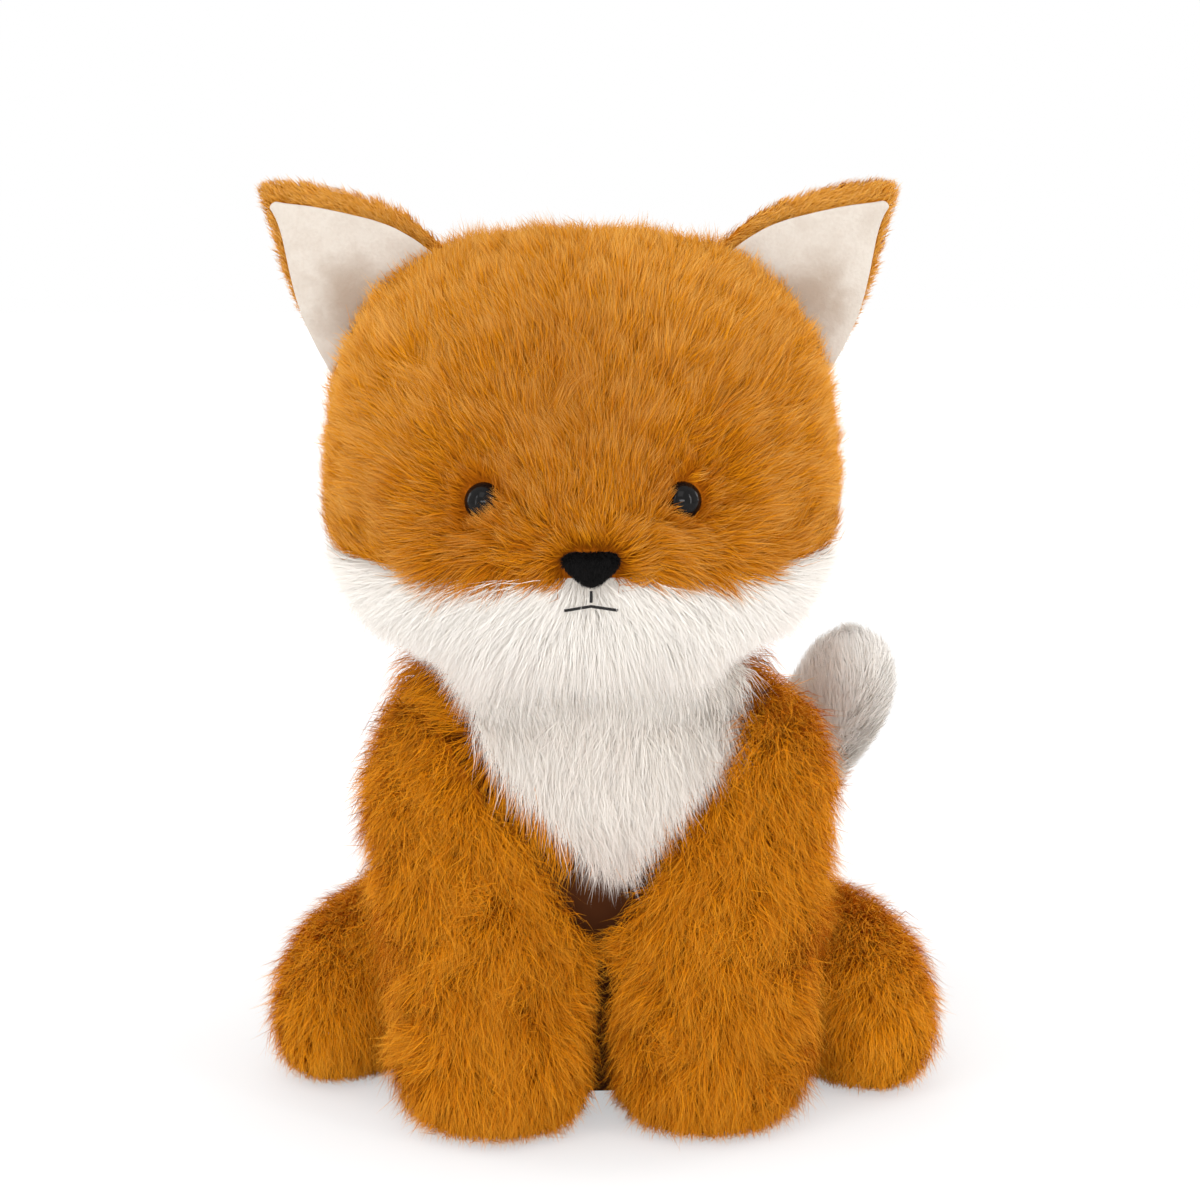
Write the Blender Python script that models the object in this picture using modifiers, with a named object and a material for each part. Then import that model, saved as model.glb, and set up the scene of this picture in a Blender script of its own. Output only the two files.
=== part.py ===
"""Plush fox, seated: pile fabric panels sewn round fibre filling, with safety eyes and a pellet bag.

Metres, +Z up. The fox faces -Y, and left and right are the fox's own, so its left is +X.
The origin is the centre of the flat base panel that it sits on.
"""

import math

import bmesh
import bpy
import numpy as np
from mathutils import Matrix, Vector
from mathutils.bvhtree import BVHTree

# Fabric: each pile panel is a woven backing with its pile lying over it
gap = 0.0003
backing = 0.0012
pile = 0.0068
skin = backing + pile
floor_press = 0.0005
overrun = 0.3
weld = 0.00001

# Neck seam, where the head is sewn to the body
neck_height = 0.1402
neck_half_width = 0.0520
neck_front = 0.0450
neck_back = 0.0430
neck_tuck = 0.012

# Head, which sits a little to the fox's right of the body
head_x = -0.0045
head_height = 0.1318
head_half_width = 0.0830
head_front = 0.0775
head_back = 0.0680
face_seam_rise = 0.0333
ear_seam_depth = 0.016
head_squareness = 2.25
# Height, width, front and back, as shares of the head's own
head_shares = (
    (0.065, 0.820, 0.845, 0.80),
    (0.19, 0.945, 0.985, 0.92),
    (0.35, 1.00, 0.985, 0.99),
    (0.53, 0.985, 0.90, 1.00),
    (0.70, 0.925, 0.77, 0.94),
    (0.85, 0.78, 0.60, 0.78),
    (0.955, 0.53, 0.39, 0.52),
    (1.0, 0.20, 0.15, 0.20),
)

# Body
body_half_width = 0.0680
body_front = 0.0540
body_back = 0.0740
body_squareness = 2.15
# Height, lean toward the head, width, front and back, as shares of the body's own
body_shares = (
    (-0.09, 0.0, 0.43, 0.42, 0.34),
    (0.0, 0.0, 0.73, 0.76, 0.60),
    (0.13, 0.0, 0.90, 0.87, 0.87),
    (0.32, 0.1, 0.97, 0.93, 1.00),
    (0.52, 0.2, 1.00, 1.00, 0.94),
    (0.70, 0.4, 1.00, 1.00, 0.80),
    (0.86, 0.7, 0.94, 0.95, 0.68),
)
base_panel_half_width = 0.0405
base_panel_half_depth = 0.0330
base_panel_thickness = 0.0020

# Chest bib, a V of cream pile let into the body, whose upper edge is tucked into the neck seam
bib_half_width = 0.0495
bib_bottom = 0.0700
bib_roundness_share = 0.62
bib_steps = 7

# Pellet bag, low in the body
pellet_bag_height = 0.030
pellet_bag_half_width = 0.036
pellet_bag_half_depth = 0.033
# Height and width, as shares of the bag's own
pellet_bag_shares = ((0.0, 0.70), (0.12, 0.93), (0.5, 1.0), (0.85, 0.72), (1.0, 0.35))

# Forelegs, whose tops lie this far below the neck seam
shoulder_drop = 0.0102
paw_x = 0.0323
paw_y = -0.0550
shoulder_x = 0.0490
shoulder_y = -0.0170
paw_half_width = 0.0323
paw_half_depth = 0.0300
# Height, lean outward, lean back, width and depth, as shares of the foreleg's own
foreleg_shares = (
    (0.00, 0.00, 0.00, 0.62, 0.64),
    (0.05, 0.00, 0.00, 0.93, 0.95),
    (0.175, 0.02, 0.00, 1.00, 1.04),
    (0.330, 0.09, 0.08, 0.985, 0.96),
    (0.480, 0.30, 0.24, 0.99, 0.90),
    (0.650, 0.68, 0.52, 0.90, 0.88),
    (0.810, 0.98, 0.80, 0.80, 0.82),
    (0.940, 1.00, 0.97, 0.62, 0.62),
    (1.000, 1.00, 1.00, 0.26, 0.26),
)

# Hind legs, which lie on the floor and point forward and outward
hindleg_height = 0.0600
hindleg_half_width = 0.0285
hindleg_half_length = 0.0480
hindleg_left_x = 0.0790
hindleg_left_y = -0.0080
hindleg_left_turn = math.radians(24)
hindleg_right_x = 0.0725
hindleg_right_y = 0.0060
hindleg_right_turn = math.radians(34)
# Height, drift back to the hip, width and length, as shares of the hind leg's own
hindleg_shares = (
    (0.00, 0.00, 0.54, 0.56),
    (0.09, 0.00, 0.85, 0.87),
    (0.30, 0.02, 1.00, 1.00),
    (0.56, 0.06, 1.00, 0.97),
    (0.77, 0.12, 0.86, 0.82),
    (0.93, 0.19, 0.56, 0.54),
    (1.00, 0.22, 0.22, 0.22),
)

# Tail, which leaves the back low down and curls up beside the fox's left
tail_root = Vector((0.012, 0.0765, 0.040))
tail_leaving_shares = (0.35, 0.93, 0.10)
tail_root_radius = 0.0110
tail_reach = 0.0820
tail_bulge = 0.0280
tail_rise = 0.0880
tail_radius = 0.0210
tail_seam_share = 0.62
# Distance along the way out and radius, as shares of the root's radius
tail_root_shares = ((-0.85, 0.34), (-0.50, 0.84), (0.15, 1.0))
# Reach, bulge, rise and radius, as shares of the tail's own, from its root
tail_shares = (
    (0.09, 0.52, 0.04, 0.55),
    (0.28, 0.88, 0.10, 0.82),
    (0.56, 0.96, 0.25, 0.96),
    (0.80, 0.66, 0.47, 1.00),
    (0.94, 0.24, 0.68, 1.00),
    (0.99, -0.06, 0.85, 0.90),
    (1.00, -0.20, 0.96, 0.60),
    (1.00, -0.26, 1.00, 0.24),
)

# Ears, each an orange back and a cream lining that cup forward
ear_inner_x = 0.0397
ear_inner_drop = 0.0060
ear_outer_x = 0.0775
ear_outer_drop = 0.0455
ear_depth_y = 0.0070
ear_length = 0.0570
ear_root = 0.0160
ear_cup = 0.0080
ear_back_thickness = 0.0058
ear_lining_thickness = 0.0026
ear_layer_gap = 0.0008
ear_border_top = 0.0065
ear_border_bottom = 0.0009
ear_tip_half_width = 0.0016
ear_flex_range = math.radians(10)
# Length, lean to the lower edge and half-width, as shares of the ear's own
ear_shares = (
    (0.00, 0.00, 1.02),
    (0.32, -0.08, 0.92),
    (0.62, -0.05, 0.64),
    (0.84, -0.07, 0.33),
    (0.96, -0.02, 0.13),
    (1.00, 0.00, 0.05),
)

# Eyes, which are pushed through the fabric and held by a washer inside
eye_x = 0.0318
eye_drift = -0.0020
eye_rise = 0.0225
eye_radius = 0.0060
eye_rim = 0.0009
eye_stem_radius = 0.0022
eye_stem_length = 0.0070
washer_radius = 0.0062
washer_thickness = 0.0014

# Nose, a velvet pad over the end of the face seam
nose_rise = 0.0039
nose_half_width = 0.0092
nose_half_height = 0.0056
nose_thickness = 0.0078
nose_base = 0.0064
# Width and height of the outline, as shares of the nose's own
nose_outline_shares = (
    (0.00, 0.80),
    (0.42, 0.90),
    (0.80, 0.86),
    (1.02, 0.48),
    (0.86, 0.02),
    (0.50, -0.52),
    (0.20, -0.92),
)
# Depth and size of the pad's rings, as shares of the nose's own
nose_ring_shares = ((0.0, 0.90), (0.40, 1.0), (0.78, 0.93), (1.0, 0.55))

# Mouth, in black thread
thread_radius = 0.00045
mouth_drop = 0.0046
mouth_half_width = 0.0078
mouth_sag = 0.0014
mouth_points = 4

# Heights that follow from the sizes above
head_base = neck_height + gap
head_top = neck_height + head_height
face_seam_height = neck_height + face_seam_rise
eye_height = face_seam_height + eye_rise
nose_height = face_seam_height + nose_rise
ear_inner_z = head_top - ear_inner_drop
ear_outer_z = head_top - ear_outer_drop
foreleg_height = neck_height - shoulder_drop

# Counts of sides round each form, and of steps along an arc
head_sides = 16
body_sides = 12
leg_sides = 8
tail_sides = 8
ear_sides = 8
turned_steps = 20
dome_steps = 6
plate_sides = 32


# Collections, materials and objects
for old in list(bpy.data.objects):
    bpy.data.objects.remove(old)

part_collection = bpy.data.collections.new("plush_fox")
cutter_collection = bpy.data.collections.new("cutters")
bpy.context.scene.collection.children.link(part_collection)
bpy.context.scene.collection.children.link(cutter_collection)


def material(name, colour, roughness, metallic=0.0):
    made = bpy.data.materials.new(name)
    made.use_nodes = True
    shader = made.node_tree.nodes["Principled BSDF"]
    shader.inputs["Base Color"].default_value = (*colour, 1.0)
    shader.inputs["Roughness"].default_value = roughness
    shader.inputs["Metallic"].default_value = metallic
    made.diffuse_color = (*colour, 1.0)
    return made


orange_pile = material("orange_pile", (0.55, 0.20, 0.016), 0.95)
cream_pile = material("cream_pile", (0.84, 0.79, 0.73), 0.95)
cream_velour = material("cream_velour", (0.80, 0.73, 0.66), 0.9)
black_plastic = material("black_plastic", (0.012, 0.012, 0.016), 0.08)
black_velvet = material("black_velvet", (0.008, 0.007, 0.007), 0.95)
black_thread = material("black_thread", (0.012, 0.010, 0.010), 0.8)
white_plastic = material("white_plastic", (0.82, 0.82, 0.80), 0.45)
fibre_filling = material("fibre_filling", (0.88, 0.88, 0.86), 1.0)
cotton_cloth = material("cotton_cloth", (0.62, 0.58, 0.50), 0.9)
base_cloth = material("base_cloth", (0.45, 0.17, 0.02), 0.95)


def add(name, data, surface=None, parent=None):
    """A new object: a part of the fox where it has a surface, and otherwise a cutter."""
    made = bpy.data.objects.new(name, data)
    if surface is None:
        cutter_collection.objects.link(made)
        made.hide_render = True
        made.display_type = "WIRE"
        return made
    part_collection.objects.link(made)
    made.data.materials.append(surface)
    if parent is not None:
        made.parent = parent
        made.matrix_parent_inverse = parent.matrix_world.inverted()
    return made


def pivot(name, place, parent=None):
    """An empty on a joint's axis, which the moving pieces hang from."""
    made = bpy.data.objects.new(name, None)
    part_collection.objects.link(made)
    made.location = place
    bpy.context.view_layer.update()
    if parent is not None:
        made.parent = parent
        made.matrix_parent_inverse = parent.matrix_world.inverted()
    bpy.context.view_layer.update()
    return made


def boolean(piece, operation, *others):
    for other in others:
        step = piece.modifiers.new(f"{operation.lower()} {other.name}", "BOOLEAN")
        step.operation = operation
        step.object = other
        step.solver = "EXACT"


# Soft forms: rings of points, extruded from station to station and smoothed by subdivision
def cage_columns(columns):
    """Station sizes pushed out so that the subdivided surface passes through them."""
    count = len(columns)
    weights = np.eye(count)
    for row in range(1, count - 1):
        weights[row, row - 1 : row + 2] = (1 / 6, 2 / 3, 1 / 6)
    return np.linalg.solve(weights, np.array(columns))


def ring_growth(sides):
    return 3 / (2 + math.cos(math.tau / sides))


def level_ring(centre, half_width, front, back, sides, squareness=2.0, turn=0.0):
    """One level ring, an oval whose front and back halves may differ in depth."""
    ring = []
    for step in range(sides):
        angle = math.tau * (step + 0.5) / sides
        across = math.copysign(abs(math.cos(angle)) ** (2 / squareness), math.cos(angle))
        along = math.copysign(abs(math.sin(angle)) ** (2 / squareness), math.sin(angle))
        depth = back if along > 0 else front
        point = Vector((half_width * across, depth * along, 0))
        ring.append(Vector(centre) + Matrix.Rotation(turn, 3, "Z") @ point)
    return ring


def loft(name, rings, triangles=False):
    """A closed body through the rings, made by extruding a capped ring from one to the next."""
    body = bmesh.new()
    bmesh.ops.create_circle(body, cap_ends=True, segments=len(rings[0]), radius=1)
    body.faces.ensure_lookup_table()
    cap = body.faces[0]
    for vertex, point in zip(cap.verts, rings[0]):
        vertex.co = point
    for index, ring in enumerate(rings[1:]):
        grown = bmesh.ops.extrude_face_region(body, geom=[cap])
        if index > 0:
            bmesh.ops.delete(body, geom=[cap], context="FACES_ONLY")
        cap = next(item for item in grown["geom"] if isinstance(item, bmesh.types.BMFace))
        for vertex, point in zip(cap.verts, ring):
            vertex.co = point
    bmesh.ops.recalc_face_normals(body, faces=body.faces)
    if triangles:
        bmesh.ops.triangulate(body, faces=body.faces)
    mesh = bpy.data.meshes.new(name)
    body.to_mesh(mesh)
    body.free()
    mesh.shade_smooth()
    return mesh


def oval_form(name, stations, sides, squareness=2.0, turn=0.0, smooth=True):
    """The cage of a soft form from stations of centre x, y, z, half-width, front and back."""
    columns = cage_columns(stations) if smooth else np.array(stations)
    growth = ring_growth(sides) if smooth else 1
    rings = [
        level_ring(row[:3], *(row[3:] * growth), sides, squareness, turn) for row in columns
    ]
    return loft(name, rings, triangles=not smooth)


def subdivide(piece):
    step = piece.modifiers.new("smooth", "SUBSURF")
    step.levels = 1
    step.render_levels = 1


def swell(piece, amount):
    step = piece.modifiers.new("swell", "DISPLACE")
    step.strength = amount
    step.mid_level = 0


def soft_cutter(name, mesh, amount):
    """The smooth outside of a form, swollen by a clearance."""
    made = add(name, mesh)
    subdivide(made)
    swell(made, amount)
    return made


def core_cutter(name, mesh):
    """The hollow inside a skin: the form's core, drawn in by the fabric."""
    made = add(name, mesh)
    swell(made, -skin)
    return made


def filling(name, mesh, parent=None):
    made = add(name, mesh.copy(), fibre_filling, parent)
    swell(made, -skin - gap)
    return made


def box_cutter(name, low, high):
    body = bmesh.new()
    bmesh.ops.create_cube(body, size=1)
    size = Vector(high) - Vector(low)
    bmesh.ops.scale(body, vec=size, verts=body.verts)
    bmesh.ops.translate(body, vec=Vector(low) + size / 2, verts=body.verts)
    mesh = bpy.data.meshes.new(name)
    body.to_mesh(mesh)
    body.free()
    return add(name, mesh)


def turned(name, profile, surface, parent, seat, closed=False):
    """A round piece, turned about its own Z axis from a profile that runs down its outer side."""
    body = bmesh.new()
    points = [body.verts.new((radius, 0, height)) for radius, height in profile]
    for start, end in zip(points, points[1:]):
        body.edges.new((start, end))
    if closed:
        body.edges.new((points[-1], points[0]))
    mesh = bpy.data.meshes.new(name)
    body.to_mesh(mesh)
    body.free()
    made = add(name, mesh, surface)
    made.location = seat.translation
    made.rotation_euler = seat.to_euler()
    bpy.context.view_layer.update()
    if parent is not None:
        made.parent = parent
        made.matrix_parent_inverse = parent.matrix_world.inverted()
    step = made.modifiers.new("turn", "SCREW")
    step.steps = turned_steps
    step.render_steps = turned_steps
    step.use_merge_vertices = True
    step.merge_threshold = weld
    return made


# Head
def head_stations():
    rows = [(head_x, 0, head_base - neck_tuck, neck_half_width, neck_front, neck_back)]
    rows.append((head_x, 0, head_base, neck_half_width, neck_front, neck_back))
    for rise, width, front, back in head_shares:
        rows.append(
            (
                head_x,
                0,
                head_base + rise * (head_top - head_base),
                width * head_half_width,
                front * head_front,
                back * head_back,
            )
        )
    return rows


head_cage = oval_form("head_form", head_stations(), head_sides, head_squareness)
head_core_cage = oval_form(
    "head_filling_form", head_stations(), head_sides, head_squareness, smooth=False
)
head_pivot = pivot("neck_turn", (head_x, 0, neck_height))
head_clear = soft_cutter("head_clearance", head_cage, gap)

head_panels = {
    "head_crown": (
        orange_pile,
        (-overrun, -overrun, face_seam_height + gap / 2),
        (overrun, ear_seam_depth - gap / 2, head_top + overrun),
    ),
    "head_cheeks": (
        cream_pile,
        (-overrun, -overrun, head_base),
        (overrun, ear_seam_depth - gap / 2, face_seam_height - gap / 2),
    ),
    "head_back": (
        orange_pile,
        (-overrun, ear_seam_depth + gap / 2, head_base),
        (overrun, overrun, head_top + overrun),
    ),
}
head_hollow = core_cutter("head_hollow", head_core_cage)
head_skins = {}
for name, (surface, low, high) in head_panels.items():
    panel = add(name, head_cage.copy(), surface, head_pivot)
    subdivide(panel)
    boolean(panel, "DIFFERENCE", head_hollow)
    boolean(panel, "INTERSECT", box_cutter(f"{name}_region", low, high))
    head_skins[name] = panel

head_filling = filling("head_stuffing", head_core_cage, head_pivot)
below_neck = box_cutter(
    "below_neck", (-overrun, -overrun, -overrun), (overrun, overrun, head_base)
)
boolean(head_filling, "DIFFERENCE", below_neck)


# Places on the face, found on the smooth head
bpy.context.view_layer.update()
depsgraph = bpy.context.evaluated_depsgraph_get()
head_surface = BVHTree.FromObject(head_clear, depsgraph)


def on_face(x, z):
    """The point of the face this far from the head's middle, at this height."""
    start = Vector((head_x + x, -overrun, z))
    point = head_surface.ray_cast(start, Vector((0, 1, 0)))[0]
    return point + Vector((0, gap, 0))


def face_seat(x, z, depth):
    """A place on the face, this deep in the pile, whose Z axis points out of the head."""
    point = on_face(x, z)
    outward = (point - Vector((head_x, 0, z))).normalized()
    place = outward.to_track_quat("Z", "Y").to_matrix().to_4x4()
    place.translation = point - outward * depth
    return place


# Eyes and their washers
def eye_profile():
    dome = []
    for step in range(dome_steps + 1):
        angle = math.pi / 2 * (1 - step / dome_steps)
        dome.append((eye_radius * math.cos(angle), eye_rim + eye_radius * math.sin(angle)))
    dome[0] = (0, dome[0][1])
    return dome + [
        (eye_radius, 0),
        (eye_stem_radius, 0),
        (eye_stem_radius, -eye_stem_length),
        (0, -eye_stem_length),
    ]


pocket_top = -gap - backing
washer_top = pocket_top - gap
washer_bore = eye_stem_radius + gap
for side, x in (("left", eye_drift + eye_x), ("right", eye_drift - eye_x)):
    seat = face_seat(x, eye_height, pile - gap)
    turned(f"eye_{side}", eye_profile(), black_plastic, head_pivot, seat)
    turned(
        f"eye_washer_{side}",
        [
            (washer_bore, washer_top),
            (washer_radius, washer_top),
            (washer_radius, washer_top - washer_thickness),
            (washer_bore, washer_top - washer_thickness),
        ],
        white_plastic,
        head_pivot,
        seat,
        closed=True,
    )
    socket = turned(
        f"eye_socket_{side}",
        [
            (0, pile + overrun),
            (eye_radius + gap, pile + overrun),
            (eye_radius + gap, -gap),
            (washer_bore, -gap),
            (washer_bore, pocket_top),
            (washer_radius + gap, pocket_top),
            (washer_radius + gap, -eye_stem_length),
            (0, -eye_stem_length),
        ],
        None,
        None,
        seat,
    )
    boolean(head_skins["head_crown"], "DIFFERENCE", socket)
    pocket = turned(
        f"washer_pocket_{side}",
        [
            (0, pocket_top),
            (washer_radius + gap, pocket_top),
            (washer_radius + gap, washer_top - washer_thickness - gap),
            (washer_bore, washer_top - washer_thickness - gap),
            (washer_bore, -eye_stem_length - gap),
            (0, -eye_stem_length - gap),
        ],
        None,
        None,
        seat,
    )
    boolean(head_filling, "DIFFERENCE", pocket)


# Nose
def nose_ring(depth, size, clearance=0.0):
    right = nose_outline_shares
    left = tuple((-x, z) for x, z in reversed(right[1:]))
    return [
        Vector(
            (
                x * (nose_half_width * size + clearance),
                z * (nose_half_height * size + clearance),
                depth,
            )
        )
        for x, z in right + left
    ]


nose_point = on_face(0, nose_height)
nose_place = Matrix.Rotation(math.pi / 2, 4, "X")
nose_place.translation = nose_point + Vector((0, nose_base, 0))
nose_mesh = loft(
    "nose", [nose_ring(share * nose_thickness, size) for share, size in nose_ring_shares]
)
nose = add("nose", nose_mesh, black_velvet)
nose.matrix_world = nose_place
nose.parent = head_pivot
nose.matrix_parent_inverse = head_pivot.matrix_world.inverted()
subdivide(nose)
nose_socket = add(
    "nose_socket",
    loft("nose_socket", [nose_ring(-gap, 1, gap), nose_ring(overrun, 1, gap)]),
)
nose_socket.matrix_world = nose_place
for name in ("head_crown", "head_cheeks"):
    boolean(head_skins[name], "DIFFERENCE", nose_socket)


# Mouth: a drop below the nose and two shallow arms, lying on the cheeks
def thread(name, places):
    curve = bpy.data.curves.new(name, "CURVE")
    curve.dimensions = "3D"
    curve.bevel_depth = thread_radius
    curve.bevel_resolution = 2
    curve.use_fill_caps = True
    line = curve.splines.new("POLY")
    line.points.add(len(places) - 1)
    for point, (x, z) in zip(line.points, places):
        seat = face_seat(x, z, -gap - thread_radius)
        point.co = (*seat.translation, 1)
    return add(name, curve, black_thread, head_pivot)


mouth_top = nose_height - nose_half_height - gap - thread_radius
mouth_middle = mouth_top - mouth_drop
drop_end = mouth_middle + 2 * thread_radius + gap
thread("lip_stitch", [(0, mouth_top), (0, (mouth_top + drop_end) / 2), (0, drop_end)])
arm_places = []
for step in range(-mouth_points, mouth_points + 1):
    share = step / mouth_points
    arm_places.append((share * mouth_half_width, mouth_middle - mouth_sag * abs(share)))
thread("mouth_stitch", arm_places)


# Ears
ear_chord = Vector((ear_outer_x - ear_inner_x, 0, ear_outer_z - ear_inner_z))
ear_half_width = ear_chord.length / 2
ear_hinge = Vector(
    (
        (ear_inner_x + ear_outer_x) / 2,
        ear_depth_y - ear_cup / 2,
        (ear_inner_z + ear_outer_z) / 2,
    )
)
head_middle = Vector((head_x, 0, 0))
# Across the ear from its upper edge to its lower one, from front to back, and from root to tip
ear_across = ear_chord.normalized()
ear_frame = Matrix((ear_across, Vector((0, 1, 0)), ear_across.cross(Vector((0, 1, 0)))))
ear_frame.transpose()


def mirrored(way, sign):
    """A direction, or a place measured from the head's middle, for the left or right ear."""
    return Vector((sign * way.x, way.y, way.z))


def ear_rings(sign, length, narrower, lower, forward, thickness):
    """Crescent rings from the root, which is sewn into the head, to the tip."""
    growth = ring_growth(ear_sides)
    rings = []
    _, root_lean, root_width = ear_shares[0]
    for rise, lean, width in ((-ear_root / length, root_lean, root_width), *ear_shares):
        inward = (1 + width) / 2
        half_width = max(width * ear_half_width - narrower * inward, ear_tip_half_width)
        ring = []
        for step in range(ear_sides):
            angle = math.tau * step / ear_sides
            middle = lower * inward + lean * ear_half_width
            across = half_width * math.cos(angle) + middle
            cup = ear_cup * (1 / 2 - (across / ear_half_width) ** 2)
            point = Vector(
                (
                    across * growth,
                    cup - forward + growth * thickness / 2 * math.sin(angle),
                    rise * length,
                )
            )
            ring.append(head_middle + mirrored(ear_hinge + ear_frame @ point, sign))
        rings.append(ring)
    return rings


ear_layers = {
    "back": (orange_pile, ear_length, 0, 0, 0, ear_back_thickness),
    "lining": (
        cream_velour,
        ear_length - ear_border_top,
        (ear_border_top + ear_border_bottom) / 2,
        (ear_border_top - ear_border_bottom) / 2,
        (ear_back_thickness + ear_lining_thickness) / 2 + ear_layer_gap,
        ear_lining_thickness,
    ),
}
for side, sign in (("left", 1), ("right", -1)):
    hinge = head_middle + mirrored(ear_hinge, sign)
    ear_pivot = pivot(f"ear_{side}_flex", hinge, head_pivot)
    clearances = []
    for bend in (-ear_flex_range, 0, ear_flex_range):
        clear = soft_cutter(f"ear_{side}_clearance", head_cage, gap)
        turn = Matrix.Rotation(bend, 4, mirrored(ear_across, sign))
        clear.matrix_world = Matrix.Translation(hinge) @ turn @ Matrix.Translation(-hinge)
        clearances.append(clear)
    for layer, (surface, *sizes) in ear_layers.items():
        name = f"ear_{side}_{layer}"
        piece = add(name, loft(name, ear_rings(sign, *sizes)), surface, ear_pivot)
        subdivide(piece)
        boolean(piece, "DIFFERENCE", *clearances)


# Body
def body_stations():
    rows = []
    for rise, lean, width, front, back in body_shares:
        rows.append(
            (
                lean * head_x,
                0,
                rise * neck_height,
                width * body_half_width,
                front * body_front,
                back * body_back,
            )
        )
    rows.append((head_x, 0, neck_height, neck_half_width, neck_front, neck_back))
    rows.append((head_x, 0, neck_height + neck_tuck, neck_half_width, neck_front, neck_back))
    return rows


body_cage = oval_form("body_form", body_stations(), body_sides, body_squareness)
body_core_cage = oval_form(
    "body_filling_form", body_stations(), body_sides, body_squareness, smooth=False
)
body_clear = soft_cutter("body_clearance", body_cage, gap)
below_floor = box_cutter(
    "below_floor", (-overrun, -overrun, -overrun), (overrun, overrun, 0)
)
above_neck = box_cutter(
    "above_neck", (-overrun, -overrun, neck_height), (overrun, overrun, overrun)
)


def bib_outline(clearance):
    """Half of the V, from the apex up, with an edge that bows outward."""
    height = neck_height + neck_tuck - bib_bottom
    points = []
    for step in range(bib_steps + 1):
        rise = step / bib_steps
        width = (bib_half_width + clearance) * rise**bib_roundness_share
        points.append((width, bib_bottom - clearance + rise * height))
    return points


def bib_prism(name, clearance):
    """The V as a prism that passes through the front of the body."""
    right = bib_outline(clearance)
    outline = right + [(-x, z) for x, z in reversed(right[1:])]
    front = [Vector((x, -overrun, z)) for x, z in outline]
    back = [Vector((x, 0, z)) for x, z in outline]
    return add(name, loft(name, [front, back]))


torso = add("torso_skin", body_cage.copy(), orange_pile)
bib = add("chest_bib", body_cage.copy(), cream_pile)
subdivide(torso)
subdivide(bib)
boolean(torso, "DIFFERENCE", bib_prism("bib_opening", gap))
boolean(bib, "INTERSECT", bib_prism("bib_region", 0))
body_hollow = core_cutter("body_hollow", body_core_cage)
for piece in (torso, bib):
    boolean(piece, "DIFFERENCE", body_hollow, below_floor, above_neck)


def oval_plate(name, half_width, half_depth, low, high, surface=None):
    body = bmesh.new()
    bmesh.ops.create_cone(
        body, cap_ends=True, segments=plate_sides, radius1=1, radius2=1, depth=1
    )
    bmesh.ops.scale(body, vec=(half_width, half_depth, high - low), verts=body.verts)
    bmesh.ops.translate(body, vec=(0, 0, (low + high) / 2), verts=body.verts)
    mesh = bpy.data.meshes.new(name)
    body.to_mesh(mesh)
    body.free()
    return add(name, mesh, surface)


oval_plate(
    "base_panel",
    base_panel_half_width,
    base_panel_half_depth,
    0,
    base_panel_thickness,
    base_cloth,
)
base_opening = oval_plate(
    "base_opening",
    base_panel_half_width + gap,
    base_panel_half_depth + gap,
    -overrun,
    base_panel_thickness + gap,
)
boolean(torso, "DIFFERENCE", base_opening)

# Pellet bag and body filling
pellet_bag_base = base_panel_thickness + gap
pellet_stations = [
    (
        0,
        0,
        pellet_bag_base + rise * pellet_bag_height,
        width * pellet_bag_half_width,
        width * pellet_bag_half_depth,
        width * pellet_bag_half_depth,
    )
    for rise, width in pellet_bag_shares
]
pellet_cage = oval_form("pellet_bag_form", pellet_stations, leg_sides)
pellet_bag = add("pellet_bag", pellet_cage, cotton_cloth)
subdivide(pellet_bag)

body_filling = filling("torso_stuffing", body_core_cage)
below_filling = box_cutter(
    "below_filling", (-overrun, -overrun, -overrun), (overrun, overrun, pellet_bag_base)
)
boolean(body_filling, "DIFFERENCE", below_filling, above_neck)
boolean(body_filling, "DIFFERENCE", soft_cutter("pellet_bag_clearance", pellet_cage, gap))


# Legs, each cut by the body that it is sewn to
def leg(name, rows, turn, cutters):
    cage = oval_form(f"{name}_form", rows, leg_sides, turn=turn)
    core = oval_form(f"{name}_filling_form", rows, leg_sides, turn=turn, smooth=False)
    wall = add(f"{name}_skin", cage, orange_pile)
    subdivide(wall)
    hollow = core_cutter(f"{name}_hollow", core)
    boolean(wall, "DIFFERENCE", hollow, below_floor, *cutters)
    boolean(filling(f"{name}_stuffing", core), "DIFFERENCE", *cutters)


def foreleg_rows(sign):
    rows = []
    for rise, lean_out, lean_back, width, depth in foreleg_shares:
        rows.append(
            (
                sign * (paw_x + lean_out * (shoulder_x - paw_x)),
                paw_y + lean_back * (shoulder_y - paw_y),
                -floor_press + rise * foreleg_height,
                width * paw_half_width,
                depth * paw_half_depth,
                depth * paw_half_depth,
            )
        )
    return rows


def hindleg_rows(sign, x, y, turn):
    rows = []
    for rise, drift, width, length in hindleg_shares:
        slide = drift * hindleg_half_length
        rows.append(
            (
                sign * (x - slide * math.sin(turn)),
                y + slide * math.cos(turn),
                -floor_press + rise * hindleg_height,
                width * hindleg_half_width,
                length * hindleg_half_length,
                length * hindleg_half_length,
            )
        )
    return rows


for side, sign, x, y, turn in (
    ("left", 1, hindleg_left_x, hindleg_left_y, hindleg_left_turn),
    ("right", -1, hindleg_right_x, hindleg_right_y, hindleg_right_turn),
):
    leg(f"foreleg_{side}", foreleg_rows(sign), 0, [body_clear])
    leg(f"hindleg_{side}", hindleg_rows(sign, x, y, turn), sign * turn, [body_clear])


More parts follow.
